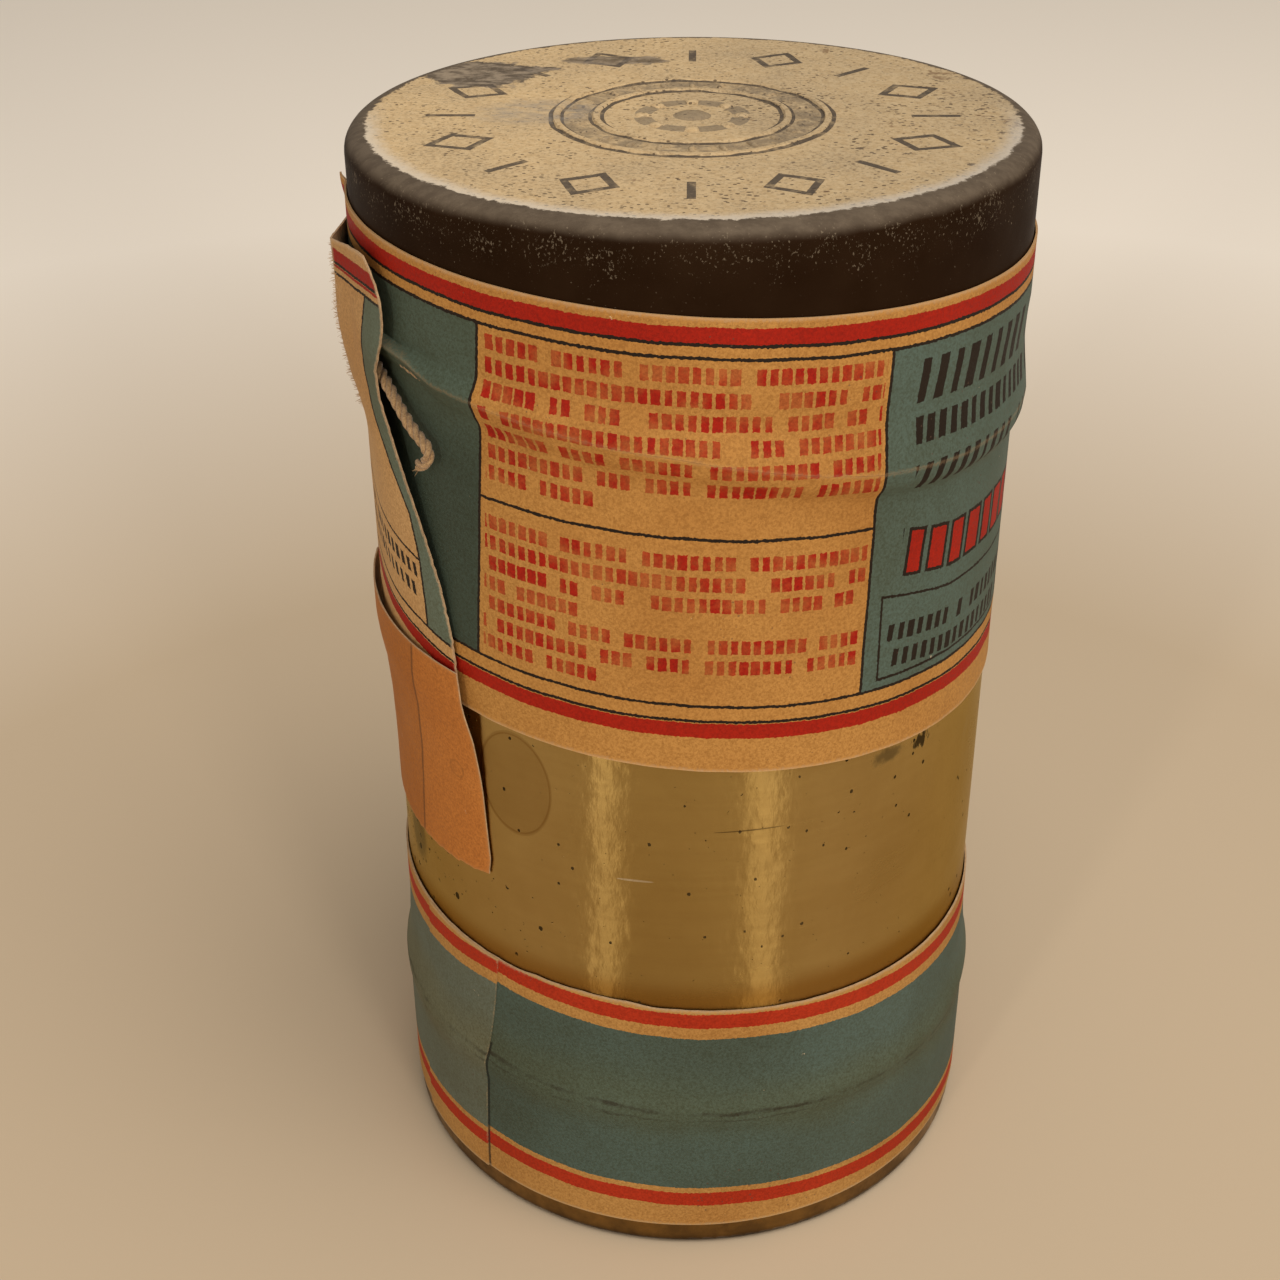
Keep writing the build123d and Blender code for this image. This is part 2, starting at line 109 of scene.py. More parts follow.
def linked(name, data):
    piece = bpy.data.objects.new(name, data)
    bpy.context.scene.collection.objects.link(piece)
    return piece


def fromPoints(name, vertices, edges, faces, material):
    mesh = bpy.data.meshes.new(name)
    mesh.from_pydata(vertices, edges, faces)
    piece = linked(name, mesh)
    setMaterials(piece, material)
    return piece


faceOutwards = (bpy.ops.mesh.normals_make_consistent, {"inside": False})


def editWhole(piece, *steps):  # operators on the whole of a mesh
    activate(piece)
    bpy.ops.object.mode_set(mode="EDIT")
    for operator, settings in steps:
        bpy.ops.mesh.select_all(action="SELECT")
        operator(**settings)
    bpy.ops.object.mode_set(mode="OBJECT")


def primitive(name, add, **settings):
    bpy.ops.object.select_all(action="DESELECT")
    add(**settings)
    piece = bpy.context.object
    piece.name = piece.data.name = name
    return piece


def paperSheet(name, columns, rows, place, front, back, thickness=tinSizes["paper"], rim=1):
    # a flat sheet is laid out as a grid, wrapped by place(), and given its thickness inwards
    sheet = primitive(name, bpy.ops.mesh.primitive_grid_add, x_subdivisions=columns, y_subdivisions=rows, size=1)
    layout = sheet.data.uv_layers[0]
    layout.name = "print"
    wear = sheet.data.uv_layers.new(name="wear")
    prints, wears = [], []
    for vertex in sheet.data.vertices:
        azimuth, radius, height, across, up, ridge, edge = place(vertex.co.x + 0.5, vertex.co.y + 0.5)
        vertex.co = Vector((*radius, height)) * mm if azimuth is None else aroundTin(azimuth, radius, height)
        prints.append((across, up))
        wears.append((ridge, edge))
    for loop in sheet.data.loops:
        layout.data[loop.index].uv = prints[loop.vertex_index]
        wear.data[loop.index].uv = wears[loop.vertex_index]
    setMaterials(sheet, front, back)
    useModifier(sheet, "SOLIDIFY", thickness=thickness * mm, offset=-1, material_offset=1, material_offset_rim=rim)
    smoothEdges(sheet, 50)
    return sheet


class Reading:  # what a node gives, for sums in plain signs; < and > give 1 where they hold
    def __init__(self, finish, socket):
        self.finish, self.socket = finish, socket

    def math(self, operation, *others):
        return self.finish.math(operation, self, *others)

    def __add__(self, other):
        return self.math("ADD", other)

    def __sub__(self, other):
        return self.math("SUBTRACT", other)

    def __rsub__(self, other):
        return self.finish.math("SUBTRACT", other, self)

    def __mul__(self, other):
        return self.math("MULTIPLY", other)

    def __truediv__(self, other):
        return self.math("DIVIDE", other)

    def __abs__(self):
        return self.math("ABSOLUTE")

    def __lt__(self, other):
        return self.math("LESS_THAN", other)

    def __gt__(self, other):
        return self.math("GREATER_THAN", other)

    def near(self, middle, half):
        return self.math("COMPARE", middle, half)

    def inside(self, low, high):
        return self.near((low + high) / 2, (high - low) / 2)

    def most(self, other):
        return self.math("MAXIMUM", other)

    def least(self, other):
        return self.math("MINIMUM", other)

    def fade(self, low, high, top=1.0):  # 0 at low and top at high, either way round
        made = self.finish.node("MapRange", interpolation_type="SMOOTHSTEP")
        return self.finish.fed(made, (self, low, high, 0.0, top))

    def ramp(self, *stops):
        made = self.finish.node("ValToRGB")
        elements = made.color_ramp.elements
        for index, (at, level) in enumerate(stops):
            stop = elements[index] if index < 2 else elements.new(at)
            stop.position = at
            stop.color = (level, level, level, 1.0)
        return self.finish.fed(made, (self,))


class Finish:  # a material, short ways to its nodes, and its colour so far
    sockets = {"color": "Base Color", "rough": "Roughness", "metal": "Metallic", "bump": "Normal", "ior": "IOR",
               "sheen": "Sheen Weight", "through": "Transmission Weight", "level": "Specular IOR Level",
               "glint": "Specular Tint", "stretch": "Anisotropic", "stretchTurn": "Anisotropic Rotation",
               "tangent": "Tangent"}

    def __init__(self, name, color=None):
        self.material = bpy.data.materials.new(name)
        self.material.use_nodes = True
        self.tree = self.material.node_tree
        self.here = self.place()
        self.color = color

    def put(self, socket, value):
        if isinstance(value, Reading):
            self.tree.links.new(value.socket, socket)
        elif hasattr(value, "__len__") and len(value) == 3 and len(socket.default_value) == 4:
            socket.default_value = (*value, 1.0)
        else:
            socket.default_value = value

    def node(self, kind, **settings):
        made = self.tree.nodes.new("ShaderNode" + kind)
        for name, value in settings.items():
            setattr(made, name, value)
        return made

    def fed(self, node, values, output=0):  # a node with its inputs filled, by order or by name
        for key, value in values.items() if isinstance(values, dict) else enumerate(values):
            self.put(node.inputs[key], value)
        return Reading(self, node.outputs[output])

    def math(self, operation, *values):
        return self.fed(self.node("Math", operation=operation), values)

    def mix(self, part, a, b, blend="MIX"):
        return self.fed(self.node("Mix", data_type="RGBA", blend_type=blend), {0: part, 6: a, 7: b}, 2)

    def paint(self, part, color):
        self.color = self.mix(part, self.color, color)

    def tint(self, part, color):
        self.color = self.mix(part, self.color, color, "MULTIPLY")

    def place(self, stretch=(1, 1, 1), uv=None):
        source = self.node("UVMap", uv_map=uv).outputs[0] if uv else self.node("TexCoord").outputs["Object"]
        return self.fed(self.node("Mapping"), {"Vector": Reading(self, source), "Scale": stretch})

    def split(self, place=None):  # the three parts of a place, of the object's in millimetres if none is given
        return [Reading(self, output) for output in self.fed(
            self.node("SeparateXYZ"), (place or self.place((1000, 1000, 1000)),)).socket.node.outputs]

    def noise(self, scale, detail=3.0, rough=0.5, twist=0.0, at=None):
        return self.fed(self.node("TexNoise"), {"Vector": at or self.here, "Scale": scale, "Detail": detail,
                                                "Roughness": rough, "Distortion": twist})

    def cells(self, scale, at=None):
        return self.fed(self.node("TexVoronoi"), {"Vector": at or self.here, "Scale": scale}, "Distance")

    def spot(self, centre, size):  # distance from a centre, 1 at the edge of an oval of that size
        away = self.fed(self.node("VectorMath", operation="SUBTRACT"), (self.here, centre))
        away = self.fed(self.node("VectorMath", operation="DIVIDE"), (away, Vector(size) * mm))
        return self.fed(self.node("VectorMath", operation="LENGTH"), (away,), "Value")

    def bumps(self, height, depth, strength=1.0):
        return self.fed(self.node("Bump"), {"Strength": strength, "Distance": depth * mm, "Height": height})

    def printed(self):  # the print's place across in degrees and up in millimetres, with a wandering ink edge
        wander = self.noise(2600, 2) - 0.5
        drift = self.noise(160, 2) - 0.5
        shift = wander * (4.0 * paperSizes["bleed"]) + drift * 0.35
        across, up, _ = self.split(self.place(uv="print"))
        return across + shift, up + shift

    def done(self, **values):
        for name, value in {"color": self.color, **values}.items():
            self.put(self.tree.nodes["Principled BSDF"].inputs[self.sockets[name]], value)
        return self.material


# colours, as light intensities
inks = {
    "cream": (0.485, 0.232, 0.058),
    "teal": (0.076, 0.101, 0.072),
    "red": (0.365, 0.014, 0.004),
    "bandRed": (0.43, 0.030, 0.007),
    "black": (0.02, 0.012, 0.007),
    "slip": (0.54, 0.195, 0.040),
    "paperBack": (0.52, 0.34, 0.18),
}
paperSizes = {
    "grain": 2700,  # noise scales, per metre
    "fine": 5200,
    "fibre": 1500,
    "fleck": 900,
    "stain": 45,
    "bleed": 0.10,  # how far the ink's edge wanders, in millimetres
    "bump": 0.03,
}


def oldPaper(finish, bare, strength=1.0):
    # age on a printed sheet: grain, flecks, stains, a rubbed ridge and worn edges
    ridge, edge, _ = finish.split(finish.place(uv="wear"))
    grain = finish.noise(paperSizes["grain"], 4, 0.6)
    fibre = finish.noise(paperSizes["fibre"], 2, 0.5, 2.6)
    stain = finish.noise(paperSizes["stain"], 5, 0.6)
    finish.tint(grain.ramp((0.36, 0.9), (0.60, 0.0)), (0.72, 0.67, 0.58))
    finish.tint(fibre.ramp((0.46, 0.0), (0.495, 0.55), (0.53, 0.0)), (0.55, 0.47, 0.38))
    finish.tint(stain.ramp((0.42, 0.0), (0.68, 0.55 * strength)), (0.74, 0.62, 0.48))
    crowd = finish.noise(70, 3).ramp((0.5, 0.0), (0.75, 1.0))
    finish.paint((finish.cells(paperSizes["fleck"]) < crowd * 0.2) * 0.55, (0.09, 0.05, 0.03))
    rubEdge = (edge * 0.9 + grain * 1.1).ramp((0.5, 1.0), (0.95, 0.0))
    rubRidge = (abs(ridge) * 0.9 + grain).ramp((0.48, 1.0), (0.8, 0.0))
    finish.paint(rubEdge.most(rubRidge * 0.28) * (0.6 * strength), bare)
    finish.paint((finish.noise(330, 5, 0.7, 0.6) > 0.725) * 0.6, (0.62, 0.47, 0.30))
    relief = finish.noise(paperSizes["fine"], 2) * 0.5 + (fibre * 0.8 + grain)
    rough = (grain + stain * 0.4).ramp((0.5, 0.52), (0.95, 0.78))
    return finish.done(rough=rough, bump=finish.bumps(relief, paperSizes["bump"], 0.7), level=0.12)


def blockRows(across, up, firstRow, rowPitch, halfHeight, cell, halfWidth, gapShare=0.16, seed=0.0, slant=0.0):
    # rows of small upright blocks that stand for a printed text: 1 on a block
    finish = up.finish
    row = (firstRow - up) / rowPitch
    rowNumber = row.math("ROUND")
    place = (rowNumber * 7.3 + (up * slant + across)) / cell
    ticket = finish.fed(finish.node("CombineXYZ"), (place.math("FLOOR"), rowNumber, seed))
    chance = finish.fed(finish.node("TexWhiteNoise", noise_dimensions="3D"), {"Vector": ticket}, "Value")
    width = (chance * 7.0).math("FRACT") * 0.14 + (halfWidth / cell - 0.07)
    inRow = abs(row - rowNumber) < halfHeight / rowPitch
    return inRow * (abs(place.math("FRACT") - 0.5) < width) * (chance > gapShare), rowNumber


def stripes(finish, up, rows):
    for centre, half, ink in rows:
        finish.paint(up.near(centre, half), inks[ink])


printSizes = {
    "panels": (89.8, 133.87),
    "creamSplit": 111.9,
    "stripes": [(136.5, 0.95, "red"), (135.4, 0.2, "black"), (133.87, 0.2, "black"), (89.8, 0.2, "black"),
                (87.7, 0.2, "black"), (86.4, 1.0, "red")],
    "borders": [(-37.7, 92.4, 0.107), (30.1, 88, 0.033)],  # of the cream panel: azimuth at a height, and lean
    "backBorder": 168.0,
    # rows on the teal panel: middle, half height, pitch of the blocks, half width, seed, lean
    "tealRows": [(129.3, 2.65, 2.9, 0.8, 1.0, -0.12), (123.4, 1.6, 2.05, 0.6, 2.0, -0.12),
                 (117.7, 1.7, 2.3, 0.5, 3.0, -0.3)],
    "redRow": 111.8,
    "box": (33.3, 96.0, 90.9, 106.3),  # left, right, foot and top
    "boxLine": (0.45, 0.35),  # its upright and level lines' thickness
    "levelFrom": 50.0,  # the lower rows fall to the right as far as here
}


def wrapperFinish():
    finish = Finish("wrapperPrint")
    across, up = finish.printed()
    black, split = inks["black"], printSizes["creamSplit"]
    panels = up.inside(*printSizes["panels"])
    leftBorder, rightBorder = (across - (up * lean + (azimuth - lean * height))
                               for azimuth, height, lean in printSizes["borders"])
    backBorder = across - printSizes["backBorder"]
    tealLeft = (leftBorder < 0.0) * panels
    tealRight = (rightBorder > 0.0) * (backBorder < 0.0) * panels
    finish.color = finish.mix(tealLeft.most(tealRight), inks["cream"], inks["teal"])
    # painted light: the right teal panel is made lighter and bluer, as if more light falls on the right side
    finish.tint(tealRight, (1.18, 1.23, 1.36))
    # painted shade: the left teal strip is darkened below the ridge, where the ridge and the flap shade it
    finish.tint(tealLeft * up.fade(124.0, 113.0) * 0.75, (0.55, 0.56, 0.55))
    # two blocks of red rows on the cream panel, with short last rows
    lowBlock = up < split
    text, row = blockRows(across * 0.75, lowBlock * 23.0 + up, 131.9, 2.75, 0.92, 1.42, 0.5)
    lastUpper = row.near(6.0, 0.1) * (across > -13.0)
    shortLower = row.near(3.0, 0.1) * lowBlock * (across > -18.0)
    span = (leftBorder > 1.2) * (rightBorder < -1.0) * (1.0 - lastUpper.most(shortLower))
    worn = finish.noise(260, 4).ramp((0.35, 0.55), (0.6, 1.0))
    finish.paint(text * row.near(3.0, 3.2) * span * worn, inks["red"])
    # rows of bars on the teal panel at the right, and a plain box low down
    bars = across * 0.75
    rightSpan = across.near(100.0, 63.0)
    for first, half, cell, width, seed, slant in printSizes["tealRows"]:
        text, _ = blockRows(bars, up, first, 40, half, cell, width, 0.1, seed, slant)
        finish.paint(text * rightSpan * up.near(first, 4), black)
    rightward = across.least(printSizes["levelFrom"])
    slope, middle = rightward * 0.11 + up, printSizes["redRow"]
    for half, width, ink in ((3.1, 1.85, "black"), (2.65, 1.35, "red")):
        text, _ = blockRows(bars, slope, middle, 60, half, 4.2, width, 0.0, 5.0, -0.1)
        finish.paint(text * rightSpan * slope.near(middle, 5), inks[ink])
    left, right, low, high = printSizes["box"]
    box, core = (across.inside(left + side, right - side) * (slope < high - level) * (up > low + level)
                 for side, level in ((0.0, 0.0), printSizes["boxLine"]))
    finish.paint(box - core, black)
    text, row = blockRows(bars, rightward * 0.07 + up, 99.7, 3.6, 1.15, 1.75, 0.5, 0.12, 8.0, -0.12)
    finish.paint(text * row.near(0.5, 0.6) * across.inside(35.0, 94.0), black)
    # panel borders and dividing line, then the stripes over all
    for border in (leftBorder, rightBorder, backBorder):
        finish.paint(border.near(0.0, 0.27) * panels, black)
    finish.paint(up.near(split, 0.2) * (leftBorder > 0.0) * (rightBorder < 0.0), black)
    stripes(finish, up, printSizes["stripes"])
    return oldPaper(finish, (0.56, 0.36, 0.19))


def flapFinish():
    finish = Finish("flapPrint")
    across, up = finish.printed()
    panels, black = up.inside(*printSizes["panels"]), inks["black"]
    finish.color = finish.mix((across > 0.0) * panels, (0.58, 0.34, 0.14), (0.135, 0.165, 0.118))
    finish.paint(across.near(0.0, 0.22) * panels, black)
    finish.paint((across * 0.08 + up).near(99.5, 0.2) * (across < 0.0), black)
    text, row = blockRows(across, up, 97.4, 3.3, 1.0, 1.5, 0.4, 0.1, 4.0, 0.1)
    finish.paint(text * row.near(0.5, 0.6) * across.inside(-30.0, -0.9), black)
    stripes(finish, up, printSizes["stripes"] + [(134.95, 0.2, "red")])
    # the bend at the corner is rubbed down to bare paper
    rubbed = finish.noise(420, 4, 0.7, at=finish.place((1, 1, 0.4))) * 3.2 + abs(across + 10.6)
    finish.paint(rubbed.fade(2.6, 1.7, 0.75) * up.fade(113.0, 119.0), (0.62, 0.45, 0.27))
    return oldPaper(finish, (0.60, 0.42, 0.25))


def bandFinish():
    finish = Finish("bandPrint", inks["cream"])
    across, up = finish.printed()
    middle, half = 24.45, 13.25  # of the teal stripe
    stripes(finish, up, [(40.7, 1.15, "bandRed"), (middle, half, "teal"), (9.05, 1.2, "bandRed")])
    belt = up.near(middle, half)
    # the teal on the band's left side is made redder, its own older tone, and lighter, which is painted light falling
    # from the left
    finish.tint(across.inside(-128.0, -39.0) * belt, (1.80, 1.48, 1.40))
    # painted light: the teal stripe is made lighter on the right side
    finish.tint(across.fade(-350.0, -315.0) * across.fade(-150.0, -220.0) * belt, (1.20, 1.17, 1.20))
    finish.paint(across.near(-400.0, 0.55) * (up < 27.0) * 0.8, (0.020, 0.022, 0.018))  # shadow at the seam
    nearRidge = finish.noise(60, 3) * 8.0 + abs(up - 26.0)
    finish.tint(1.0, finish.mix(nearRidge.fade(12.0, 4.5), (1.0, 1.06, 1.18), (1.08, 1.02, 0.94)))
    level = finish.noise(210, 4, 0.7, at=finish.place((1, 1, 2.5))) * 1.6 + up
    crease = abs(level - 26.1).least(abs(level - 24.8) + 0.2).fade(0.5, 0.05, 0.8)
    broken = finish.noise(130, 4, 0.7, at=finish.place((1, 1, 0.2))).ramp((0.44, 0.1), (0.6, 1.0))
    finish.paint(crease * broken, (0.035, 0.030, 0.018))
    return oldPaper(finish, (0.50, 0.36, 0.20))


def slipFinish():
    finish = Finish("slipPrint", inks["slip"])
    across, up = finish.printed()
    # painted shade of a fold: a dark line along it and a greyer side to its left; the sheet's shape has no fold
    fold = across + (up * -0.16 + 68.5)
    finish.paint(fold.fade(0.5, 0.1, 0.75) * fold.fade(-0.6, -0.1), (0.16, 0.065, 0.02))
    finish.tint(fold.fade(0.0, -0.3, 0.35), (0.62, 0.60, 0.60))
    drop = finish.spot(aroundTin(-45.2, 41.4, 72.3), (1.3, 1.3, 1.2))
    finish.paint(drop.near(1.0, 0.14) * 0.3, (0.22, 0.085, 0.02))
    return oldPaper(finish, (0.50, 0.24, 0.09), 0.7)


def backFinish():
    finish = Finish("paperBack", inks["paperBack"])
    grain = finish.noise(1800, 5, 0.6)
    finish.paint(grain.ramp((0.35, 1.0), (0.65, 0.0)), (0.36, 0.22, 0.11))
    return finish.done(rough=0.85, bump=finish.bumps(grain, 0.04))


brassLook = {
    "color": (0.405, 0.258, 0.087),
    "amber": (0.325, 0.182, 0.048),
    "pit": (0.035, 0.018, 0.008),
    "glint": (0.86, 0.76, 0.50),
    "stretch": 1.0,  # how far the fine lines round the tube stretch a highlight up and down
    "relief": (0.16, 0.045),  # of the shallow dents and the fine lines, in millimetres
}


def brassFinish():
    finish = Finish("brassLacquer", brassLook["color"])
    radius, pit = tinSizes["bodyRadius"], brassLook["pit"]
    x, y, height = finish.split()
    cloud = finish.noise(38, 5, 0.6, 0.4)
    streak = finish.noise(60, 4, 0.6, at=finish.place((1, 1, 22)))
    finish.paint(cloud.ramp((0.38, 0.0), (0.7, 0.65)), brassLook["amber"])
    lip = cloud * 3.0 + (x / radius + height)  # darker just above the base band
    finish.paint(lip.fade(49.5, 45.4, 0.85), (0.27, 0.125, 0.022))
    finish.paint(streak.ramp((0.4, 0.07), (0.6, 0.0)), (0.2, 0.11, 0.035))
    # painted reflection: the middle of the front is more orange and the left and right sides paler and greener
    finish.tint(1.0, finish.mix(abs(x).fade(6.0, 22.0), (0.95, 0.97, 0.90), (1.12, 1.18, 1.26)))
    # small dark pits, denser here and there
    crowd = finish.noise(48, 3).ramp((0.5, 0.0), (0.78, 1.0))
    ragged = finish.noise(700, 4, 0.7)
    pits = ragged * 0.12 + finish.cells(430, finish.place((1, 1, 0.8))) < crowd * 0.22 + 0.155
    tiny = finish.cells(900) < crowd * 0.16 + 0.06
    pits = pits.most(tiny) * (finish.noise(300, 2) > 0.49)
    # a ring left by a drop, a rubbed patch and two stains
    ring = finish.spot(aroundTin(-31.8, radius, 73.8), (4.9, 9, 7.5))
    finish.paint((cloud * 0.12 + ring).near(1.05, 0.035) * 0.36 + (ring < 1.0) * 0.30, (0.22, 0.11, 0.025))
    stain = ragged * 1.6 + finish.spot(aroundTin(38, radius, 77.0), (2.6, 3.0, 1.3))
    smear = finish.noise(420, 3, 0.7, at=finish.place((3, 3, 0.7))) * 2.2
    smear = smear + finish.spot(aroundTin(46.5, radius, 76.8), (2.1, 2.4, 1.7))
    marks = stain.fade(1.9, 1.2, 0.35).most(smear.fade(1.8, 1.6, 0.8))
    finish.paint(marks, pit)
    finish.paint(pits * 0.85, pit)
    scratch = finish.spot(aroundTin(-9, radius, 63.2), (2.4, 1.5, 0.16)) < 1.0
    finish.paint(scratch * 0.4, (0.75, 0.68, 0.55))
    darkLine = finish.spot(aroundTin(11, radius, 71.0), (4.6, 3, 0.11)) < 1.0
    seamLine = abs(x).near(2.5, 0.07) * (y > 0.0)
    finish.paint(darkLine.most(seamLine) * 0.6, pit)
    greasy = cloud * 1.2 + finish.spot(aroundTin(-65, radius, 54), (3.2, 3.2, 5))
    finish.paint(greasy.fade(1.75, 1.2, 0.75), (0.10, 0.075, 0.045))
    rough = (streak * 0.15 + cloud * 0.85).ramp((0.3, 0.22), (0.7, 0.30))
    dents, lines = brassLook["relief"]
    relief = finish.noise(190, 2, 0.5) * dents + (pits * -0.02 + streak * 0.004)
    relief = finish.noise(620, 3, 0.6, at=finish.place((1, 1, 0.45))) * lines + relief
    tangent = Reading(finish, finish.node("Tangent", direction_type="RADIAL", axis="Z").outputs[0])
    return finish.done(metal=1.0, rough=finish.mix(pits.most(marks), rough, (0.8, 0.8, 0.8)),
                       bump=finish.bumps(relief, 1.0), glint=brassLook["glint"], stretch=brassLook["stretch"],
                       stretchTurn=0.25, tangent=tangent)


def rimFinish():
    finish = Finish("baseLacquer", (0.27, 0.152, 0.043))
    grime = finish.noise(150, 5, 0.6)
    low = finish.split()[2] + grime * 1.4
    finish.paint(grime.ramp((0.42, 0.7), (0.62, 0.0)), (0.10, 0.052, 0.018))
    finish.paint(low.fade(2.6, 1.0, 0.9), (0.048, 0.026, 0.011))
    return finish.done(metal=1.0, rough=grime.ramp((0.4, 0.5), (0.62, 0.32)), bump=finish.bumps(grime, 0.03, 0.5))


lidLook = {
    "top": (0.59, 0.412, 0.205),
    "skirt": (0.0146, 0.0058, 0.0018),
    # the shoulder's grey is a painted reflection
    "shoulder": (0.125, 0.092, 0.062),
    "pit": (0.085, 0.055, 0.032),
    "line": (0.070, 0.053, 0.038),
    "fleck": (0.42, 0.33, 0.22),
    "rings": [(17.1, 0.26), (15.75, 0.2), (12.3, 0.2), (10.9, 0.24)],  # radius and half width of the dark lines
    "marks": 16,  # lozenges and bars in turn
    "marksRadius": 29.3,
}


def lidFinish():
    finish = Finish("lidLacquer", lidLook["top"])
    x, y, z = finish.split()
    radius = (x * x + y * y).math("SQRT")
    turn = x.math("ARCTAN2", y)
    coarse = finish.noise(60, 5, 0.65)
    grain = finish.noise(1300, 5, 0.7)
    blotch = finish.noise(420, 4, 0.7, at=finish.place((0.8, 1.3, 1)))
    # the pale top
    finish.tint(grain.ramp((0.35, 0.7), (0.6, 0.0)), (0.74, 0.67, 0.58))
    finish.paint(coarse.ramp((0.4, 0.0), (0.7, 0.5)), (0.40, 0.29, 0.16))
    pits = (coarse * 0.30 + finish.noise(2000, 3, 0.6)).ramp((0.70, 0.0), (0.745, 1.0))
    finish.paint(pits * 0.3, lidLook["pit"])
    crowd = finish.noise(75, 4, 0.7).ramp((0.36, 0.0), (0.66, 1.0))
    specks = finish.noise(4200, 2) * 0.14 + finish.cells(1250, finish.place((0.8, 1, 1))) < crowd * 0.27 + 0.12
    finish.paint(specks * 0.8, lidLook["pit"])
    # dark blotches and rust lean towards the right: real marks, and painted shade that darkens the right side of the
    # top
    rightShadeLean = x / 41.0 * 0.06
    finish.paint((blotch + (rightShadeLean + coarse * 0.12)).fade(0.735, 0.765, 0.8), (0.10, 0.068, 0.042))
    rust = finish.noise(150, 5, 0.7, 0.3)
    finish.paint((rightShadeLean + rust).ramp((0.665, 0.0), (0.70, 0.65)), (0.20, 0.11, 0.05))
    # printed rings, and a row of generic marks outside them
    wobbled = radius + (finish.noise(240, 3) * 0.5 - 0.25)
    sector = turn * (lidLook["marks"] / (2 * pi)) + (lidLook["marks"] / 2 + 0.5)
    even = sector.math("FLOOR").math("FLOORED_MODULO", 2.0)
    side = abs((sector.math("FRACT") - 0.5) * (radius * (2 * pi / lidLook["marks"])))
    rise = abs(wobbled - lidLook["marksRadius"])
    lozenge = (side / 3.1 + rise / 3.6).near(1.0, 0.2)
    lines = (lozenge * even).most((side < 0.5) * (rise < 3.0) * (1.0 - even))
    for at, half in lidLook["rings"]:
        lines = lines.most(wobbled.near(at, half))
    lines = lines * finish.noise(420, 4, 0.7).ramp((0.34, 0.55), (0.50, 1.0))
    # darkened metal between the rings, rubbed through, and on the middle ornament
    track = wobbled.inside(12.4, 15.6) * finish.noise(330, 4, 0.75).ramp((0.40, 0.15), (0.56, 0.85))
    dots = (turn * (8 / (2 * pi)) + 8.0).math("FRACT").near(0.5, 0.33)
    heart = (wobbled.inside(4.9, 7.1) * dots).most(wobbled < 2.3)
    finish.paint(track.most(heart * 0.8) * 0.72, (0.13, 0.10, 0.068))
    finish.paint(lines * 0.9, lidLook["line"])
    # grey smear by the rings and a bare dark patch at the back left
    smear = coarse * 1.3 + finish.spot(Vector((-19, 1, 148)) * mm, (8, 5.5, 9))
    finish.paint(smear.fade(1.85, 1.25, 0.5) * blotch.ramp((0.4, 0.25), (0.6, 1.0)), (0.22, 0.195, 0.16))
    patch = finish.noise(130, 5, 0.7) * 2.2 + finish.spot(Vector((-27, 20, 148)) * mm, (9.5, 6.0, 9))
    strip = finish.noise(150, 5, 0.7) * 2.2 + finish.spot(Vector((-9.5, 26.5, 148)) * mm, (8.0, 2.6, 9))
    bare = finish.mix(blotch.ramp((0.42, 0.0), (0.60, 1.0)), (0.070, 0.053, 0.038), (0.25, 0.19, 0.125))
    finish.paint(patch.fade(2.12, 1.95, 0.92).most(strip.fade(2.05, 1.8, 0.8)), bare)
    # the dark skirt, greyer over the shoulder as a painted reflection, with pale flecks in a line below it
    skirt = finish.mix(finish.noise(90, 5).ramp((0.4, 0.0), (0.7, 1.0)), lidLook["skirt"], (0.022, 0.0101, 0.0040))
    shoulder = finish.mix(blotch.ramp((0.4, 0.0), (0.6, 0.5)), lidLook["shoulder"], (0.06, 0.042, 0.028))
    skirt = finish.mix((coarse * 1.6 + z).fade(146.9, 148.3), skirt, shoulder)
    belt = finish.noise(3300, 3, 0.65, at=finish.place((1, 1, 0.7))) - abs(z - 144.9) * 0.030
    flecks = (finish.noise(230, 4, 0.6) * 0.34 + belt).fade(0.745, 0.83)
    sparse = finish.noise(2600, 3, 0.6).fade(0.69, 0.74, 0.6)
    skirt = finish.mix(flecks.most(sparse) * 0.26, skirt, lidLook["fleck"])
    edge = finish.noise(190, 5, 0.7) * 2.0 + (finish.noise(1100, 3, 0.7) * 1.5 + (radius - 0.75))
    onTop = edge.fade(40.5, 40.1) * (z > 147.0)
    finish.paint(edge.fade(37.6, 40.2, 0.7) * y.fade(8.0, -10.0), (0.58, 0.49, 0.36))
    # painted light: the lid is lighter and bluer on the left and darker on the right
    finish.tint(1.0, finish.mix(x.fade(-34.0, 34.0), (1.07, 1.09, 1.18), (0.85, 0.89, 1.02)))
    finish.color = finish.mix(onTop, skirt, finish.color)
    rough = finish.mix(onTop, coarse.ramp((0.35, 0.46), (0.7, 0.60)), grain.ramp((0.4, 0.75), (0.6, 0.55)))
    relief = onTop * specks.most(lines) * -1.0 + grain * 0.4
    return finish.done(rough=rough, bump=finish.bumps(relief, 0.05, 0.6), level=0.05, ior=1.3)


def twineFinish():
    finish = Finish("twineFibre", (0.30, 0.165, 0.07))
    hair = finish.noise(9, 4, 0.7, at=finish.place(uv="print"))
    grain = finish.noise(3200, 4, 0.7)
    finish.paint(hair.ramp((0.3, 0.0), (0.7, 1.0)), (0.56, 0.36, 0.17))
    finish.paint(grain.ramp((0.35, 0.7), (0.6, 0.0)), (0.16, 0.08, 0.035))
    return finish.done(rough=0.9, bump=finish.bumps(hair + grain, 0.07), level=0.15, sheen=0.25)


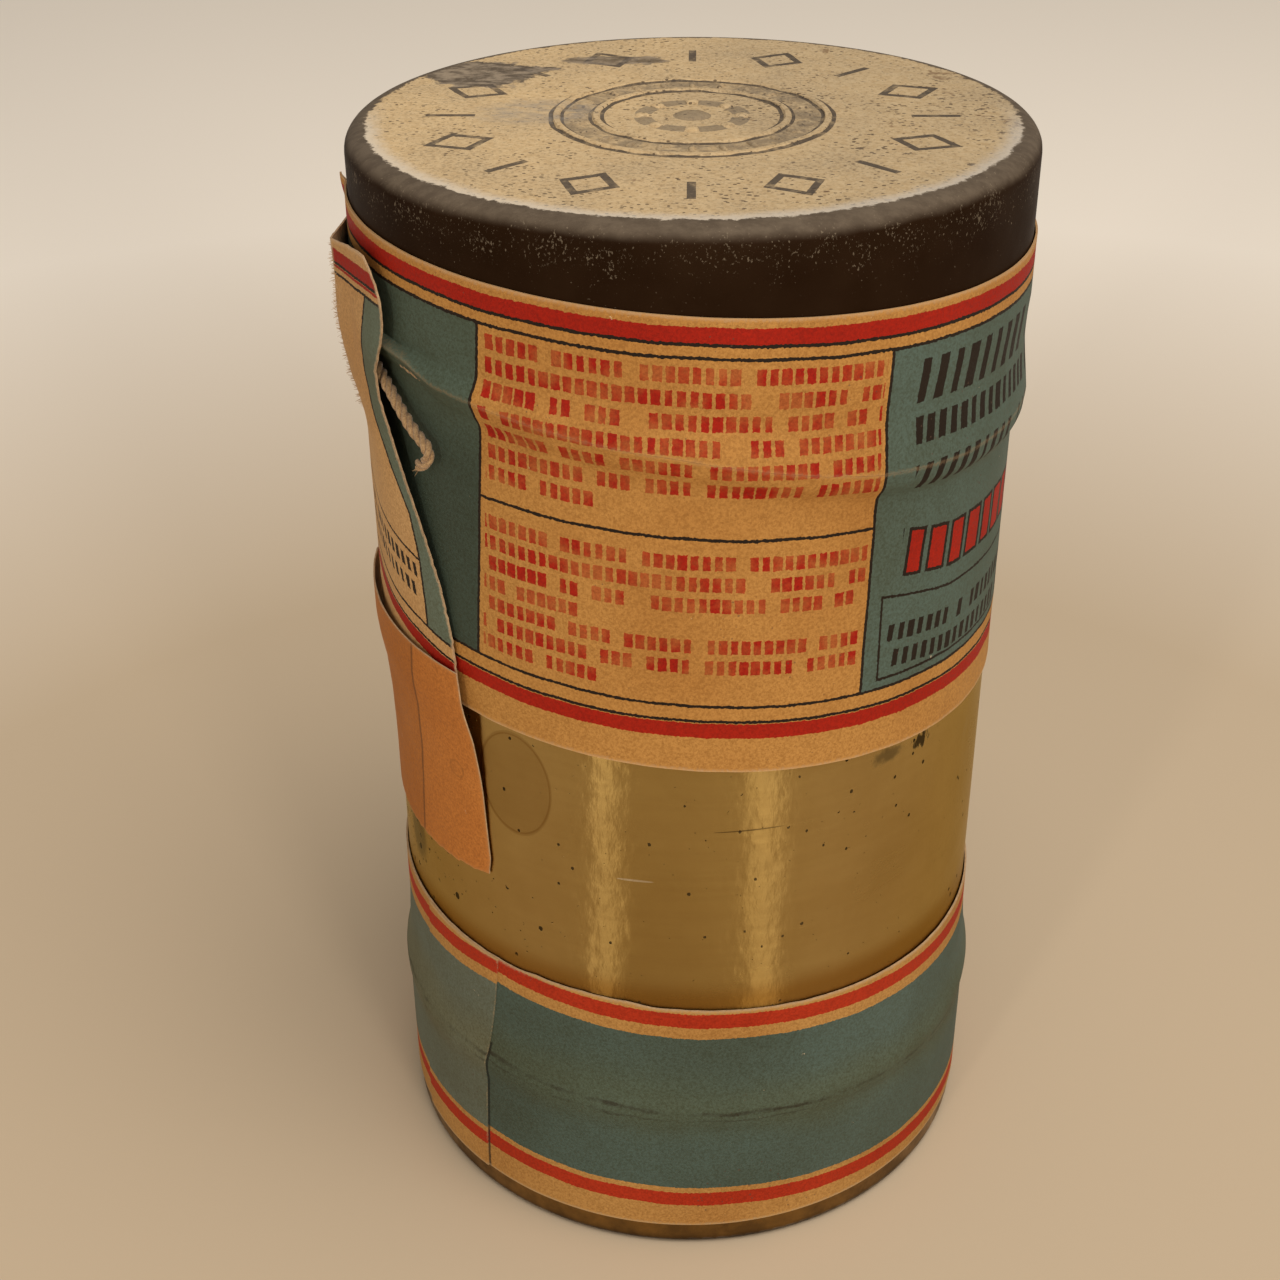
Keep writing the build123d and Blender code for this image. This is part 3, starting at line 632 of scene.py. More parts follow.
def weaveFinish(name, pitch, uv=None):
    # open gauze: fine threads crossing, with small gaps between them and a few thick threads
    finish = Finish(name, (0.74, 0.70, 0.60))
    wander = finish.noise(260, 3, 0.6) * 1.3 - 0.65
    across, along, _ = finish.split(finish.place(uv=uv) if uv else None)
    waves = [((way + wander) * (2 * pi / pitch)).math("SINE") * 0.5 + 0.5 for way in (across, along)]
    gap = waves[0] * waves[1]
    thick = finish.noise(900, 4, 0.7)
    finish.paint(gap.ramp((0.30, 0.0), (0.9, 0.75)), (0.40, 0.36, 0.28))
    finish.paint(thick.ramp((0.35, 0.35), (0.6, 0.0)), (0.555, 0.525, 0.45))
    finish.paint(finish.noise(35, 4, 0.6).ramp((0.5, 0.0), (0.8, 0.6)), (0.60, 0.48, 0.30))
    return finish.done(rough=0.92, bump=finish.bumps(gap * -1.0 + thick * 0.5, 0.18, 0.8), level=0.15, sheen=0.2)


def cottonFinish():
    finish = Finish("cottonFibre", (0.80, 0.78, 0.71))
    tuft = finish.noise(180, 6, 0.75, 1.2)
    hair = finish.noise(1500, 4, 0.8, 2.5)
    finish.paint(tuft.ramp((0.35, 0.8), (0.6, 0.0)), (0.62, 0.57, 0.46))
    finish.paint(hair.ramp((0.42, 0.4), (0.5, 0.0)), (0.66, 0.62, 0.52))
    return finish.done(rough=0.97, bump=finish.bumps(hair * 0.4 + tuft, 0.9, 0.8), level=0.1, sheen=0.4)


def linerFinish():
    # thin waxed paper, creased, browned towards its top edge
    finish = Finish("linerPaper", (0.66, 0.55, 0.37))
    fibre = finish.noise(1400, 4, 0.6, 1.8)
    crease = abs(finish.noise(55, 4, 0.6, at=finish.place((1, 1, 0.5))) - 0.5)
    brown = finish.noise(60, 4) * 14.0 + finish.split()[2]
    finish.paint(brown.fade(112.0, 148.0, 0.75), (0.42, 0.27, 0.12))
    finish.paint(fibre.ramp((0.42, 0.5), (0.52, 0.0)), (0.50, 0.38, 0.22))
    finish.paint(crease.fade(0.012, 0.0, 0.5), (0.80, 0.70, 0.52))
    relief = crease.fade(0.03, 0.0) + fibre * 0.3
    return finish.done(rough=fibre.ramp((0.4, 0.6), (0.6, 0.42)), bump=finish.bumps(relief, 0.12, 0.7), level=0.35)


def cardFinish():
    finish = Finish("greyCard", (0.46, 0.36, 0.23))
    pulp = finish.noise(700, 5, 0.7)
    finish.paint(pulp.ramp((0.35, 1.0), (0.62, 0.0)), (0.28, 0.205, 0.12))
    finish.paint((finish.cells(600) < 0.16) * 0.45, (0.13, 0.09, 0.05))
    finish.paint(finish.noise(40, 4, 0.6).ramp((0.5, 0.0), (0.75, 0.6)), (0.26, 0.17, 0.085))
    return finish.done(rough=0.88, bump=finish.bumps(pulp, 0.06, 0.7), level=0.2)


def rubberFinish():
    finish = Finish("redRubber", (0.22, 0.055, 0.028))
    bloom = finish.noise(110, 5, 0.65)
    crack = abs(finish.noise(320, 3, 0.6) - 0.5)
    finish.paint(bloom.ramp((0.42, 0.0), (0.72, 0.6)), (0.36, 0.18, 0.12))
    finish.paint(crack.fade(0.010, 0.0, 0.6), (0.06, 0.018, 0.010))
    relief = crack.fade(0.012, 0.0) * -1.0 + finish.noise(1600, 3, 0.6)
    return finish.done(rough=bloom.ramp((0.4, 0.5), (0.7, 0.75)), bump=finish.bumps(relief, 0.05, 0.6), level=0.35)


def glassFinish():
    finish = Finish("ampouleGlass", (0.93, 0.97, 0.95))
    film = finish.noise(140, 4, 0.6)
    return finish.done(rough=film.ramp((0.45, 0.02), (0.75, 0.12)), bump=finish.bumps(film, 0.02, 0.3),
                       through=1.0, ior=1.47)


def powderFinish():
    finish = Finish("palePowder", (0.78, 0.66, 0.24))
    lumps = finish.noise(900, 5, 0.8)
    finish.paint(lumps.ramp((0.4, 1.0), (0.6, 0.0)), (0.52, 0.36, 0.08))
    return finish.done(rough=0.8, bump=finish.bumps(lumps, 0.25, 1.0), level=0.3)


def leafletFinish():
    # thin printed paper with plain grey rows in place of a text
    finish = Finish("leafletPrint", (0.62, 0.50, 0.31))
    across, up = finish.printed()
    text, row = blockRows(across, up, 8.2, 1.25, 0.36, 0.85, 0.30, 0.14, 11.0)
    finish.paint(text * (across.inside(-19.5, 19.5) * row.near(6.5, 6.7) * 0.8), (0.10, 0.09, 0.10))
    finish.paint(up.near(8.9, 0.12), (0.10, 0.09, 0.10))
    return oldPaper(finish, (0.66, 0.54, 0.36), 0.8)


def rollPaperFinish():
    # plain wrapping paper with one thin blue line round each edge
    finish = Finish("rollPaper", (0.60, 0.50, 0.33))
    finish.paint(abs(finish.printed()[1]).near(10.6, 0.3), (0.09, 0.13, 0.21))
    return oldPaper(finish, (0.55, 0.43, 0.27), 0.9)


paperBack = backFinish()
wrapperPrint = wrapperFinish()
flapPrint = flapFinish()
bandPrint = bandFinish()
slipPrint = slipFinish()
brass = brassFinish()
baseLacquer = rimFinish()
lidLacquer = lidFinish()
twineFibre = twineFinish()
rollWeave = weaveFinish("rollGauze", 1.1, uv="print")
padWeave = weaveFinish("padGauze", 1.25)
cottonFibre = cottonFinish()
linerPaper = linerFinish()
greyCard = cardFinish()
redRubber = rubberFinish()
ampouleGlass = glassFinish()
palePowder = powderFinish()
leafletPrint = leafletFinish()
rollPaper = rollPaperFinish()
print("materials made")

# camera
cameraSizes = {"lens": 53.67, "sensor": 36.0, "place": (0.0, -0.23058, 0.21107), "turn": 1.67, "tip": 90 - 30.67,
               "roll": -0.40}
cameraData = bpy.data.cameras.new("photoCamera")
cameraData.lens = cameraSizes["lens"]
cameraData.sensor_width = cameraSizes["sensor"]
cameraData.clip_start = 0.01
photoCamera = linked("photoCamera", cameraData)
photoCamera.matrix_world = (
    Matrix.Translation(cameraSizes["place"])
    @ Matrix.Rotation(radians(cameraSizes["turn"]), 4, "Z")
    @ Matrix.Rotation(radians(cameraSizes["tip"]), 4, "X")
    @ Matrix.Rotation(radians(cameraSizes["roll"]), 4, "Z")
)
bpy.context.scene.camera = photoCamera
print("camera placed")


# metal: the tube, the lid and the base, each turned from its section
def turnedPiece(name, section, steps, material):
    # section: (radius, height) points of a closed outline, spun about the tin's axis
    points = [Vector((0, -radius, height)) * mm for radius, height in section]
    edges = [(index, (index + 1) % len(points)) for index in range(len(points))]
    piece = fromPoints(name, points, edges, [], material)
    editWhole(piece, (bpy.ops.mesh.spin, {"steps": steps, "angle": 2 * pi, "center": (0, 0, 0), "axis": (0, 0, 1)}),
              (bpy.ops.mesh.remove_doubles, {"threshold": 0.00001}), faceOutwards)
    return piece


def arc(x, z, radius, angles):  # points of a section's rounded corner
    return [(x + radius * cos(radians(angle)), z + radius * sin(radians(angle))) for angle in angles]


tubeSizes = {
    "steps": 224,
    "foot": 1.4,
    "top": 145.4,
    "bore": 40.6,
    "hem": 40.1,
    "hemDepth": 4.0,
    "hemRound": 0.25,
    "dent": 0.05,  # how far the wall wanders from round
    "seam": (2.9, 39.85),  # half width and radius of the lapped seam inside
}
outer, hem, bore = tinSizes["bodyRadius"], tubeSizes["hem"], tubeSizes["bore"]
foot, top, depth, rolled = (tubeSizes[name] for name in ("foot", "top", "hemDepth", "hemRound"))
tubeSection = [(outer, foot + rolled + (top - foot - 2 * rolled) * step / 60) for step in range(61)]
tubeSection += [
    (outer - 0.08, top - 0.08), (outer - rolled, top), (hem + rolled, top), (hem + 0.08, top - 0.08),
    (hem, top - rolled), (hem, top - depth), (bore, top - depth - 0.15), (bore, 100), (bore, 60), (bore, 30),
    (bore, foot + depth), (hem, foot + depth), (hem, foot + rolled), (hem + rolled, foot), (outer - rolled, foot),
]
tinTube = turnedPiece("tinTube", tubeSection, tubeSizes["steps"], brass)
seamHalf, seamRadius = tubeSizes["seam"]
for vertex in tinTube.data.vertices:
    x, y, z = vertex.co / mm
    if hypot(x, y) > outer - 0.1:
        dent = tubeSizes["dent"] * (1.2 + ripple(x / 14, y / 14, z / 26)) * smooth(30, 46, z) * (1 - smooth(76, 90, z))
        vertex.co.x -= vertex.co.x * dent / outer
        vertex.co.y -= vertex.co.y * dent / outer
    elif y > 0 and abs(x) < seamHalf and 30 < hypot(x, y) and 6 < z < 141:
        vertex.co.y = sqrt((seamRadius * mm) ** 2 - vertex.co.x ** 2)  # the lapped seam stands up inside
smoothEdges(tinTube)
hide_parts("tin_body")
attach(tinTube, "tin")

lidSizes = {
    "steps": 224,
    "inner": 41.5,
    "ceiling": 147.6,
    "shoulder": 2.5,
    "innerShoulder": 2.1,
    "rings": [(16.4, 0.4, 0.28), (11.6, 0.4, 0.28)],  # radius, half width, height
    "dashes": (24, 14, (1.2, 0.42, 0.3)),  # count, radius of their ring, half sizes
    "dots": (8, 6, (0.9, 0.9, 0.33)),
}
lidRadius, lidEdge, lidTop = tinSizes["lidRadius"], tinSizes["lidEdge"], tinSizes["height"]
ceiling, shoulder = lidSizes["ceiling"], lidSizes["shoulder"]
lidSection = [(lidSizes["inner"], lidEdge), (lidRadius - 0.1, lidEdge), (lidRadius, lidEdge + 0.12)]
lidSection += [(lidRadius, lidEdge + 1 + step * 1.9) for step in range(9)]
lidSection += arc(lidRadius - shoulder, lidTop - shoulder, shoulder, range(0, 91, 9))
lidSection += [(radius, lidTop) for radius in (38.4, 37, 35, 33, 31, 29, 27, 25, 23, 21, 19, 17.5)]
for radius, half, height in lidSizes["rings"]:
    lidSection += [(radius + half + 0.12, lidTop), (radius + half - 0.08, lidTop + height),
                   (radius - half + 0.08, lidTop + height), (radius - half - 0.12, lidTop),
                   (radius - 1.6, lidTop), (radius - 3.2, lidTop)]
lidSection += [(6, lidTop), (4, lidTop), (2.1, lidTop), (1.8, lidTop + 0.22), (1.0, lidTop + 0.3), (0.01, lidTop + 0.3)]
lidSection += [(0.01, ceiling), (20, ceiling), (39.4, ceiling)]
lidSection += arc(lidRadius - shoulder, lidTop - shoulder, lidSizes["innerShoulder"], (67, 45, 22, 0))
lidTin = turnedPiece("lidTin", lidSection, lidSizes["steps"], lidLacquer)
for vertex in lidTin.data.vertices:  # shallow dents
    x, y, z = vertex.co / mm
    radius = hypot(x, y)
    if z > lidTop - 0.1 and radius < 38:
        vertex.co.z -= 0.09 * (0.5 + 0.5 * ripple(x / 11, y / 11, 3)) * mm * smooth(0, 3, 38 - radius)
    elif radius > lidRadius - 0.05:
        dip = 0.06 * (0.5 + 0.5 * ripple(x / 8, y / 8, z / 7))
        vertex.co.x -= vertex.co.x * dip / lidRadius
        vertex.co.y -= vertex.co.y * dip / lidRadius
ornaments = []


def raised(count, radius, scale, segments, turned):  # a ring of small raised marks on the lid
    for index in range(count):
        turn = 2 * pi * index / count
        ornaments.append(primitive("ornament", bpy.ops.mesh.primitive_uv_sphere_add, segments=segments,
                                   ring_count=segments // 2, radius=1, rotation=(0, 0, turn if turned else 0),
                                   location=Vector((radius * cos(turn), radius * sin(turn), lidTop - 0.05)) * mm,
                                   scale=Vector(scale) * mm))


raised(*lidSizes["dashes"], 12, True)
raised(*lidSizes["dots"], 16, False)
lidTin.data.materials.append(brass)
for face in lidTin.data.polygons:
    centre, way = face.center / mm, face.normal
    if centre.z < 147.7 and hypot(centre.x, centre.y) < 41.7 and (
            way.x * centre.x + way.y * centre.y < -0.1 or way.z < -0.1):
        face.material_index = 1  # gold lacquer inside the lid
activate(lidTin)
for ornament in ornaments:
    setMaterials(ornament, lidLacquer)
    ornament.select_set(True)
bpy.ops.object.join()
smoothEdges(lidTin)
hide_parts("lid_shell")
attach(lidTin, "lid")
print("metal made")

# paper wrapper, above and below the tear line
wrapperSizes = {
    "start": -90.0,
    "end": 245.0,
    "columns": 300,
    "upperRadius": 42.25,
    "lowerRadius": 41.35,
    "tearLine": 0.95,  # above the string's middle
    "tearGap": 0.03,
    "crownRadius": [(-90, 42.85), (-75, 43.1), (-66, 43.35), (-58, 43.7), (-51, 43.85), (-42, 43.7), (-34, 43.3),
                    (-14, 43.0), (8, 42.9), (31, 42.8), (66, 42.75), (245, 42.75)],
    "crownRise": [(-90, 0.3), (-60, 0.5), (-56, 0.9), (-48, 0.9), (-42.5, 0.0), (245, 0.0)],
}


def printHeight(azimuth, height):  # the printed layout climbs to the left on the tube
    return height + (3.2 - 0.7 * (height - 81) / 57.5) * sin(radians(azimuth))


def crown(azimuth):  # how far out the paper stands over the string
    pucker = 0.16 * ripple(azimuth / 6.0, 3.1, 0.4) + 0.08 * ripple(azimuth / 2.2, 8.3, 1.7)
    return between(wrapperSizes["crownRadius"], azimuth) + pucker * 0.6


def aroundWrapper(part):
    azimuth = wrapperSizes["start"] + part * (wrapperSizes["end"] - wrapperSizes["start"])
    return azimuth, stringHeight(azimuth) + wrapperSizes["tearLine"] + between(wrapperSizes["crownRise"], azimuth)


def upperPlace(part, rise):
    azimuth, tear = aroundWrapper(part)
    foot = tear + wrapperSizes["tearGap"]
    top = tinSizes["wrapTop"] - tinSizes["wrapTopTilt"] * sin(radians(azimuth))
    height = foot + (top - foot) * rise ** 1.3
    edge = tinSizes["lidEdge"] + 0.4
    radius = wrapperSizes["upperRadius"]
    if height < edge:
        down = (edge - height) / max(0.1, edge - foot)
        flare = smooth(0.0 if edge - foot < 6 else 0.35, 1.0, down)
        sag = -0.3 * sin(pi * down) * smooth(4, 10, edge - foot)
        radius += (crown(azimuth) - radius) * flare + sag
    radius += 0.05 * ripple(azimuth / 5, height / 3, 2.0)
    radius += 1.1 * smooth(-85, -90, azimuth) * smooth(top - 6, top, height)
    return azimuth, radius, height, azimuth, printHeight(azimuth, height), height - foot, min(top - height, 9)


def lowerPlace(part, rise):
    azimuth, top = aroundWrapper(part)
    foot = tinSizes["wrapFoot"] - tinSizes["wrapFootTilt"] * sin(radians(azimuth))
    height = top - (top - foot) * (1 - rise) ** 2.2
    down = top - height
    crest = crown(azimuth)
    over = crest - 42.6
    radius = between([(0, crest), (0.35, crest - 0.1 * over), (0.9, crest - 0.5 * over), (1.6, 42.62), (2.2, 42.35),
                      (2.8, 41.9), (3.5, 41.5), (4.6, wrapperSizes["lowerRadius"])], down)
    radius += 0.07 * ripple(azimuth / 4, height / 5, 5.0) * smooth(3, 6, down)
    return azimuth, radius, height, azimuth, printHeight(azimuth, height), down, height - foot


wrapperUpper = paperSheet("wrapperUpper", wrapperSizes["columns"], 30, upperPlace, wrapperPrint, paperBack, rim=0)
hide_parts("wrapper_lid_part")
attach(wrapperUpper, "lid")
wrapperLower = paperSheet("wrapperLower", wrapperSizes["columns"], 48, lowerPlace, wrapperPrint, paperBack, rim=0)
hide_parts("wrapper_body_part")
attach(wrapperLower, "tin")
print("wrapper made")

# loose outer end of the wrapper
flapSizes = {
    "root": -114.2,
    "foot": 82.7,
    "height": 138.4,
    "top": [(-114, 132.0), (-100, 134.4), (-90, 135.8), (-80, 136.6), (-73, 137.1), (-66, 137.9), (-60, 138.4),
            (-40, 138.4)],
    "tealFrom": [(82.7, -49.9), (92, -49.9), (101.5, -50.1), (107.4, -51.3), (113, -56.0), (119.7, -60.0),
                 (123.8, -61.2), (127.2, -60.6), (130.8, -59.4), (134, -58.6), (139, -58)],
    "tornEdge": [(82.7, -42.6), (91.6, -43.2), (98.9, -44.9), (103.3, -46.9), (108.9, -49.8), (113.6, -52.7),
                 (118.5, -54.9), (121.3, -56.5), (124.9, -56.2), (128.7, -53.4), (131.3, -52.3), (134.2, -52.6),
                 (136.2, -54.2), (137.3, -55.9), (138.4, -58.0)],
    "face": (43.83, -60.8),  # distance from the axis and direction of each flat run
    "back": (42.57, -90.5),
    # how far out it stands, by height: where it hangs round the side, and at its torn edge
    "sideRadius": [(82.7, 41.75), (110, 41.85), (113, 42.0), (115.5, 42.35), (118, 43.0), (120, 43.5), (123, 43.75),
                   (127, 43.95), (132, 44.3), (139, 44.3)],
    "edgeRadius": [(82.7, 41.95), (95, 42.2), (105, 42.7), (113, 43.2), (119, 43.7), (124, 44.05), (128, 44.2),
                   (133, 44.1), (139, 44.3)],
}


def flapCorner(azimuth):  # two straight runs of paper that meet at a soft corner
    face, back = (out / cos(radians(azimuth - way)) for out, way in (flapSizes["face"], flapSizes["back"]))
    return -0.1 * log(exp(-(face - 44) / 0.1) + exp(-(back - 44) / 0.1)) + 44


def flapPlace(part, rise):
    foot = flapSizes["foot"]
    guess = foot + rise * (flapSizes["height"] - foot)
    edge = between(flapSizes["tornEdge"], guess) + 0.35 * ripple(guess * 1.3, 2.0, 7.0)
    edge += 0.2 * ripple(guess * 4.0, 1.0, 3.0)
    azimuth = flapSizes["root"] + part * (edge - flapSizes["root"])
    top = between(flapSizes["top"], azimuth) + 0.12 * ripple(azimuth / 2, 6.0, 1.0)
    height = foot + rise * (top - foot)
    atEdge = between(flapSizes["edgeRadius"], height)
    free = smooth(-76, -58, azimuth)
    radius = between(flapSizes["sideRadius"], height) * (1 - free) + atEdge * free
    bent = smooth(117, 128, height)
    radius = radius * (1 - bent) + (flapCorner(max(-112.0, azimuth)) + atEdge - 44.2) * bent
    root = smooth(-113, -97, azimuth)
    radius = radius * root + (42.0 + 0.7 * smooth(110, 128, height)) * (1 - root)
    overRidge = exp(-((height - stringHeight(azimuth) - 0.9) / 4.5) ** 2) * smooth(-96, -90, azimuth)
    radius = max(radius, radius + (crown(azimuth) + 0.55 - radius) * overRidge)
    radius += 0.07 * ripple(azimuth / 6, height / 9, 4.4) * root
    across = (azimuth - between(flapSizes["tealFrom"], height)) * 0.76
    up = 89.8 + 1.058 * (height - 92.4 + 0.17 * (azimuth + 52) * (1 - rise))
    up += (0.5 + 0.045 * (-54 - max(azimuth, -78))) * smooth(118, 130, height)
    return azimuth, radius, height, across, up, 9, min(edge - azimuth, top - height)


flapPaper = paperSheet("flapPaper", 110, 90, flapPlace, flapPrint, paperBack)
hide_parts("wrapper_flap")
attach(flapPaper, "tin")
print("flap made")

# orange slip over the wrapper's foot
slipSizes = {
    "view": -62.0,
    "left": -20.0,
    "rightEdge": [(57.5, 16.6), (59.2, 16.9), (64.2, 16.6), (69.3, 16.4), (74.0, 16.1), (78.5, 15.6), (83.0, 15.0),
                  (88.0, 14.5)],
    "topEdge": [(-20.0, 88.5), (14.6, 88.2)],
    "bottomEdge": [(-20.0, 57.4), (-9.4, 56.5), (1.9, 56.4), (9.0, 56.7), (13.5, 57.2), (17.0, 57.9)],
    "radius": [(56.0, 41.32), (65.0, 41.34), (72.0, 41.5), (78.0, 41.95), (82.0, 42.6), (84.0, 42.8), (89.0, 42.8)],
}


def slipPlace(part, rise):
    right = between(slipSizes["rightEdge"], 57.0 + rise * 31.0)
    across = slipSizes["left"] + part * (right - slipSizes["left"])
    low, high = between(slipSizes["bottomEdge"], across), between(slipSizes["topEdge"], across)
    low += 0.3 * ripple(across * 0.9, 4.0, 1.0) + 0.16 * ripple(across * 3.1, 7.0, 2.0)
    height = low + rise * (high - low)
    azimuth = slipSizes["view"] + degrees(asin(across / 41.6))
    radius = between(slipSizes["radius"], height) + 0.03 * ripple(azimuth / 4, height / 4, 9.0)
    return azimuth, radius, height, azimuth, height, 9, min(right - across, high - height, height - low)


controlSlip = paperSheet("controlSlip", 70, 60, slipPlace, slipPrint, paperBack, thickness=0.2)
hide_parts("control_slip")
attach(controlSlip, "tin")
print("slip made")

# paper band round the base, over the base cap's curl
bandSizes = {
    "foot": 4.0,
    "top": 42.65,
    "topTilt": 1.95,
    "topStep": [(-36, 0.0), (-32, 0.3), (-13, 0.42), (-9, 0.0), (320, 0.0)],
    "seam": -40.0,
    "lap": 22.0,
    # how far the printed stripes fall, by azimuth, at the foot and at the top
    "lowFall": [(-40, -0.8), (-22.6, -0.5), (0, -0.1), (12.8, 0.2), (40, 1.4), (72, 2.5), (100, 2.8), (180, 1.6),
                (260, 0.5), (290, 0.2), (320, -0.4)],
    "highFall": [(-40, -2.0), (-22.6, -1.22), (0, -0.1), (12.8, 0.25), (40, 1.6), (70, 3.0), (100, 3.3), (180, 2.0),
                 (260, 0.3), (290, -0.7), (320, -1.75)],
    "slant": [(6.6, -2.0), (24.6, -0.7), (36.5, 1.5), (45.0, 2.9)],  # the seam leans, in degrees
    "profile": [(3.0, 42.2), (21.5, 42.2), (23.4, 42.5), (24.6, 42.6), (25.5, 42.52), (27.5, 42.05), (30.5, 41.68),
                (35.0, 41.42), (50.0, 41.35)],
}


def bandPlace(start, span, lift=0.0):
    foot = bandSizes["foot"]

    def place(part, up):
        across = start + part * span
        azimuth = across + between(bandSizes["slant"], foot + up * 40.6)
        turn = across + (360 if start < -100 or span < 360 else 0)  # from -40, at the seam, round to 320
        top = bandSizes["top"] - bandSizes["topTilt"] * sin(radians(azimuth))
        top += between(bandSizes["topStep"], turn) + 0.1 * ripple(azimuth / 3, 1.0, 5.0)
        height = foot + up * (top - foot)
        radius = between(bandSizes["profile"], height) + lift
        radius += 0.03 * ripple(cos(radians(azimuth)) * 6, sin(radians(azimuth)) * 6, height / 6)
        side = (1 - part) * span * 1.1 + 0.3 + 0.2 * ripple(height / 4, 3.0, 8.0) if span < 360 else 9
        low, high = between(bandSizes["lowFall"], turn), between(bandSizes["highFall"], turn)
        layout = height + low + (high - low) * (height - 8) / 32
        return azimuth, radius, height, across, layout, 9, min(top - height, height - foot, side)
    return place


seam, lap = bandSizes["seam"], bandSizes["lap"]
footBand = paperSheet("footBand", 300, 60, bandPlace(seam - 360, 360), bandPrint, paperBack)
bandLap = paperSheet("bandLap", 24, 60, bandPlace(seam - lap, lap, 0.22), bandPrint, paperBack,
                     thickness=0.2, rim=0)
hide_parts("foot_band")
for piece in (footBand, bandLap):
    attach(piece, "tin")
print("band made")

# free end of the tear string
stringSizes = {
    "diameter": 1.4,
    "length": 43.65,
    "plies": 3,
    "pitch": 4.2,
    "fray": (90, 0.05),  # number of hairs at the tip, and their radius
    "channel": (-52.0, 258.0, 41.76),  # where it lies under the wrapper: from, to, and how far out
    "exit": (-41.612, 4.719, 126.905),
    "route": [(-91, 42.3, 126.6), (-82, 42.4, 126.5), (-73, 42.5, 126.0), (-64.5, 42.6, 125.1), (-57.5, 42.7, 123.7),
              (-52, 42.8, 121.0), (-48.3, 42.85, 119.1), (-44.4, 42.9, 117.9), (-44.5, 43.3, 115.9),
              (-46.6, 43.3, 115.4)],
}
routePoints = [Vector(stringSizes["exit"]) * mm] + [aroundTin(*point) for point in stringSizes["route"]]
routeCurve = bpy.data.curves.new("stringRoute", "CURVE")
routeCurve.dimensions = "3D"
routeCurve.resolution_u = 12
spline = routeCurve.splines.new("NURBS")
spline.points.add(len(routePoints) - 1)
for point, place in zip(spline.points, routePoints):
    point.co = (*place, 1.0)
spline.order_u = 3
spline.use_endpoint_u = True
routeObject = linked("stringRoute", routeCurve)
bpy.context.view_layer.update()
routeMesh = bpy.data.meshes.new_from_object(routeObject.evaluated_get(bpy.context.evaluated_depsgraph_get()))
middle = [Vector(vertex.co) for vertex in routeMesh.vertices]
bpy.data.objects.remove(routeObject)


def evenly(points, spacing):  # the same line with points at even distances
    line, left = [points[0]], spacing
    for start, end in zip(points, points[1:]):
        length = (end - start).length
        at = left
        while at <= length:
            line.append(start.lerp(end, at / length))
            at += spacing
        left = at - length
    if (line[-1] - points[-1]).length > spacing / 3:
        line.append(points[-1])
    return line


def frames(points):  # two directions across a line that turn with it as little as they can
    last = len(points) - 1
    along = [(points[min(index + 1, last)] - points[max(index - 1, 0)]).normalized() for index in range(last + 1)]
    side = along[0].orthogonal().normalized()
    result = []
    for way in along:
        side = (side - way * side.dot(way)).normalized()
        result.append((side, way.cross(side)))
    return result


def ringPoints(centre, side, rise, radius, sides, turn=0.0):
    angles = [2 * pi * corner / sides + turn for corner in range(sides)]
    return [centre + (side * cos(angle) + rise * sin(angle)) * radius for angle in angles]


def tubeFaces(first, rings, sides):  # the skin and both ends of a tube whose points start at first
    last = first + (rings - 1) * sides
    faces = []
    for ring in range(first, last, sides):
        for corner in range(sides):
            a, b = ring + corner, ring + (corner + 1) % sides
            faces.append((a, b, b + sides, a + sides))
    return faces + [tuple(range(first + sides - 1, first - 1, -1)), tuple(range(last, last + sides))]


def twistedTwine(name, points, sides=9):
    # plies wound round a line, each a closed tube with its own UV map along it
    plies, pitch, diameter = stringSizes["plies"], stringSizes["pitch"] * mm, stringSizes["diameter"] * mm
    across = frames(points)
    vertices, faces, layout = [], [], []
    walked = [0.0]
    for start, end in zip(points, points[1:]):
        walked.append(walked[-1] + (end - start).length)
    for ply in range(plies):
        faces += tubeFaces(len(vertices), len(points), sides)
        for point, (side, rise), far in zip(points, across, walked):
            turn = 2 * pi * (ply / plies + far / pitch)
            centre = point + (side * cos(turn) + rise * sin(turn)) * diameter * 0.25
            thick = diameter * 0.29 * (1 + 0.10 * ripple(far * 900, ply * 3.0, 1.0))
            vertices += ringPoints(centre, side, rise, thick, sides, turn)
            layout += [(corner / sides, far * 1000) for corner in range(sides)]
    piece = fromPoints(name, vertices, [], faces, twineFibre)
    uv = piece.data.uv_layers.new(name="print")
    for loop in piece.data.loops:
        uv.data[loop.index].uv = layout[loop.vertex_index]
    editWhole(piece, faceOutwards)
    smoothEdges(piece, 50)
    return piece


def fibreTuft(name, strands, radius, material, sides=4):  # fine tapering hairs, one for each line of points
    vertices, faces = [], []
    for points in strands:
        faces += tubeFaces(len(vertices), len(points), sides)
        for index, (point, (side, rise)) in enumerate(zip(points, frames(points))):
            vertices += ringPoints(point, side, rise, radius * mm * (1 - 0.75 * index / (len(points) - 1)), sides)
    piece = fromPoints(name, vertices, [], faces, material)
    editWhole(piece, faceOutwards)
    return piece


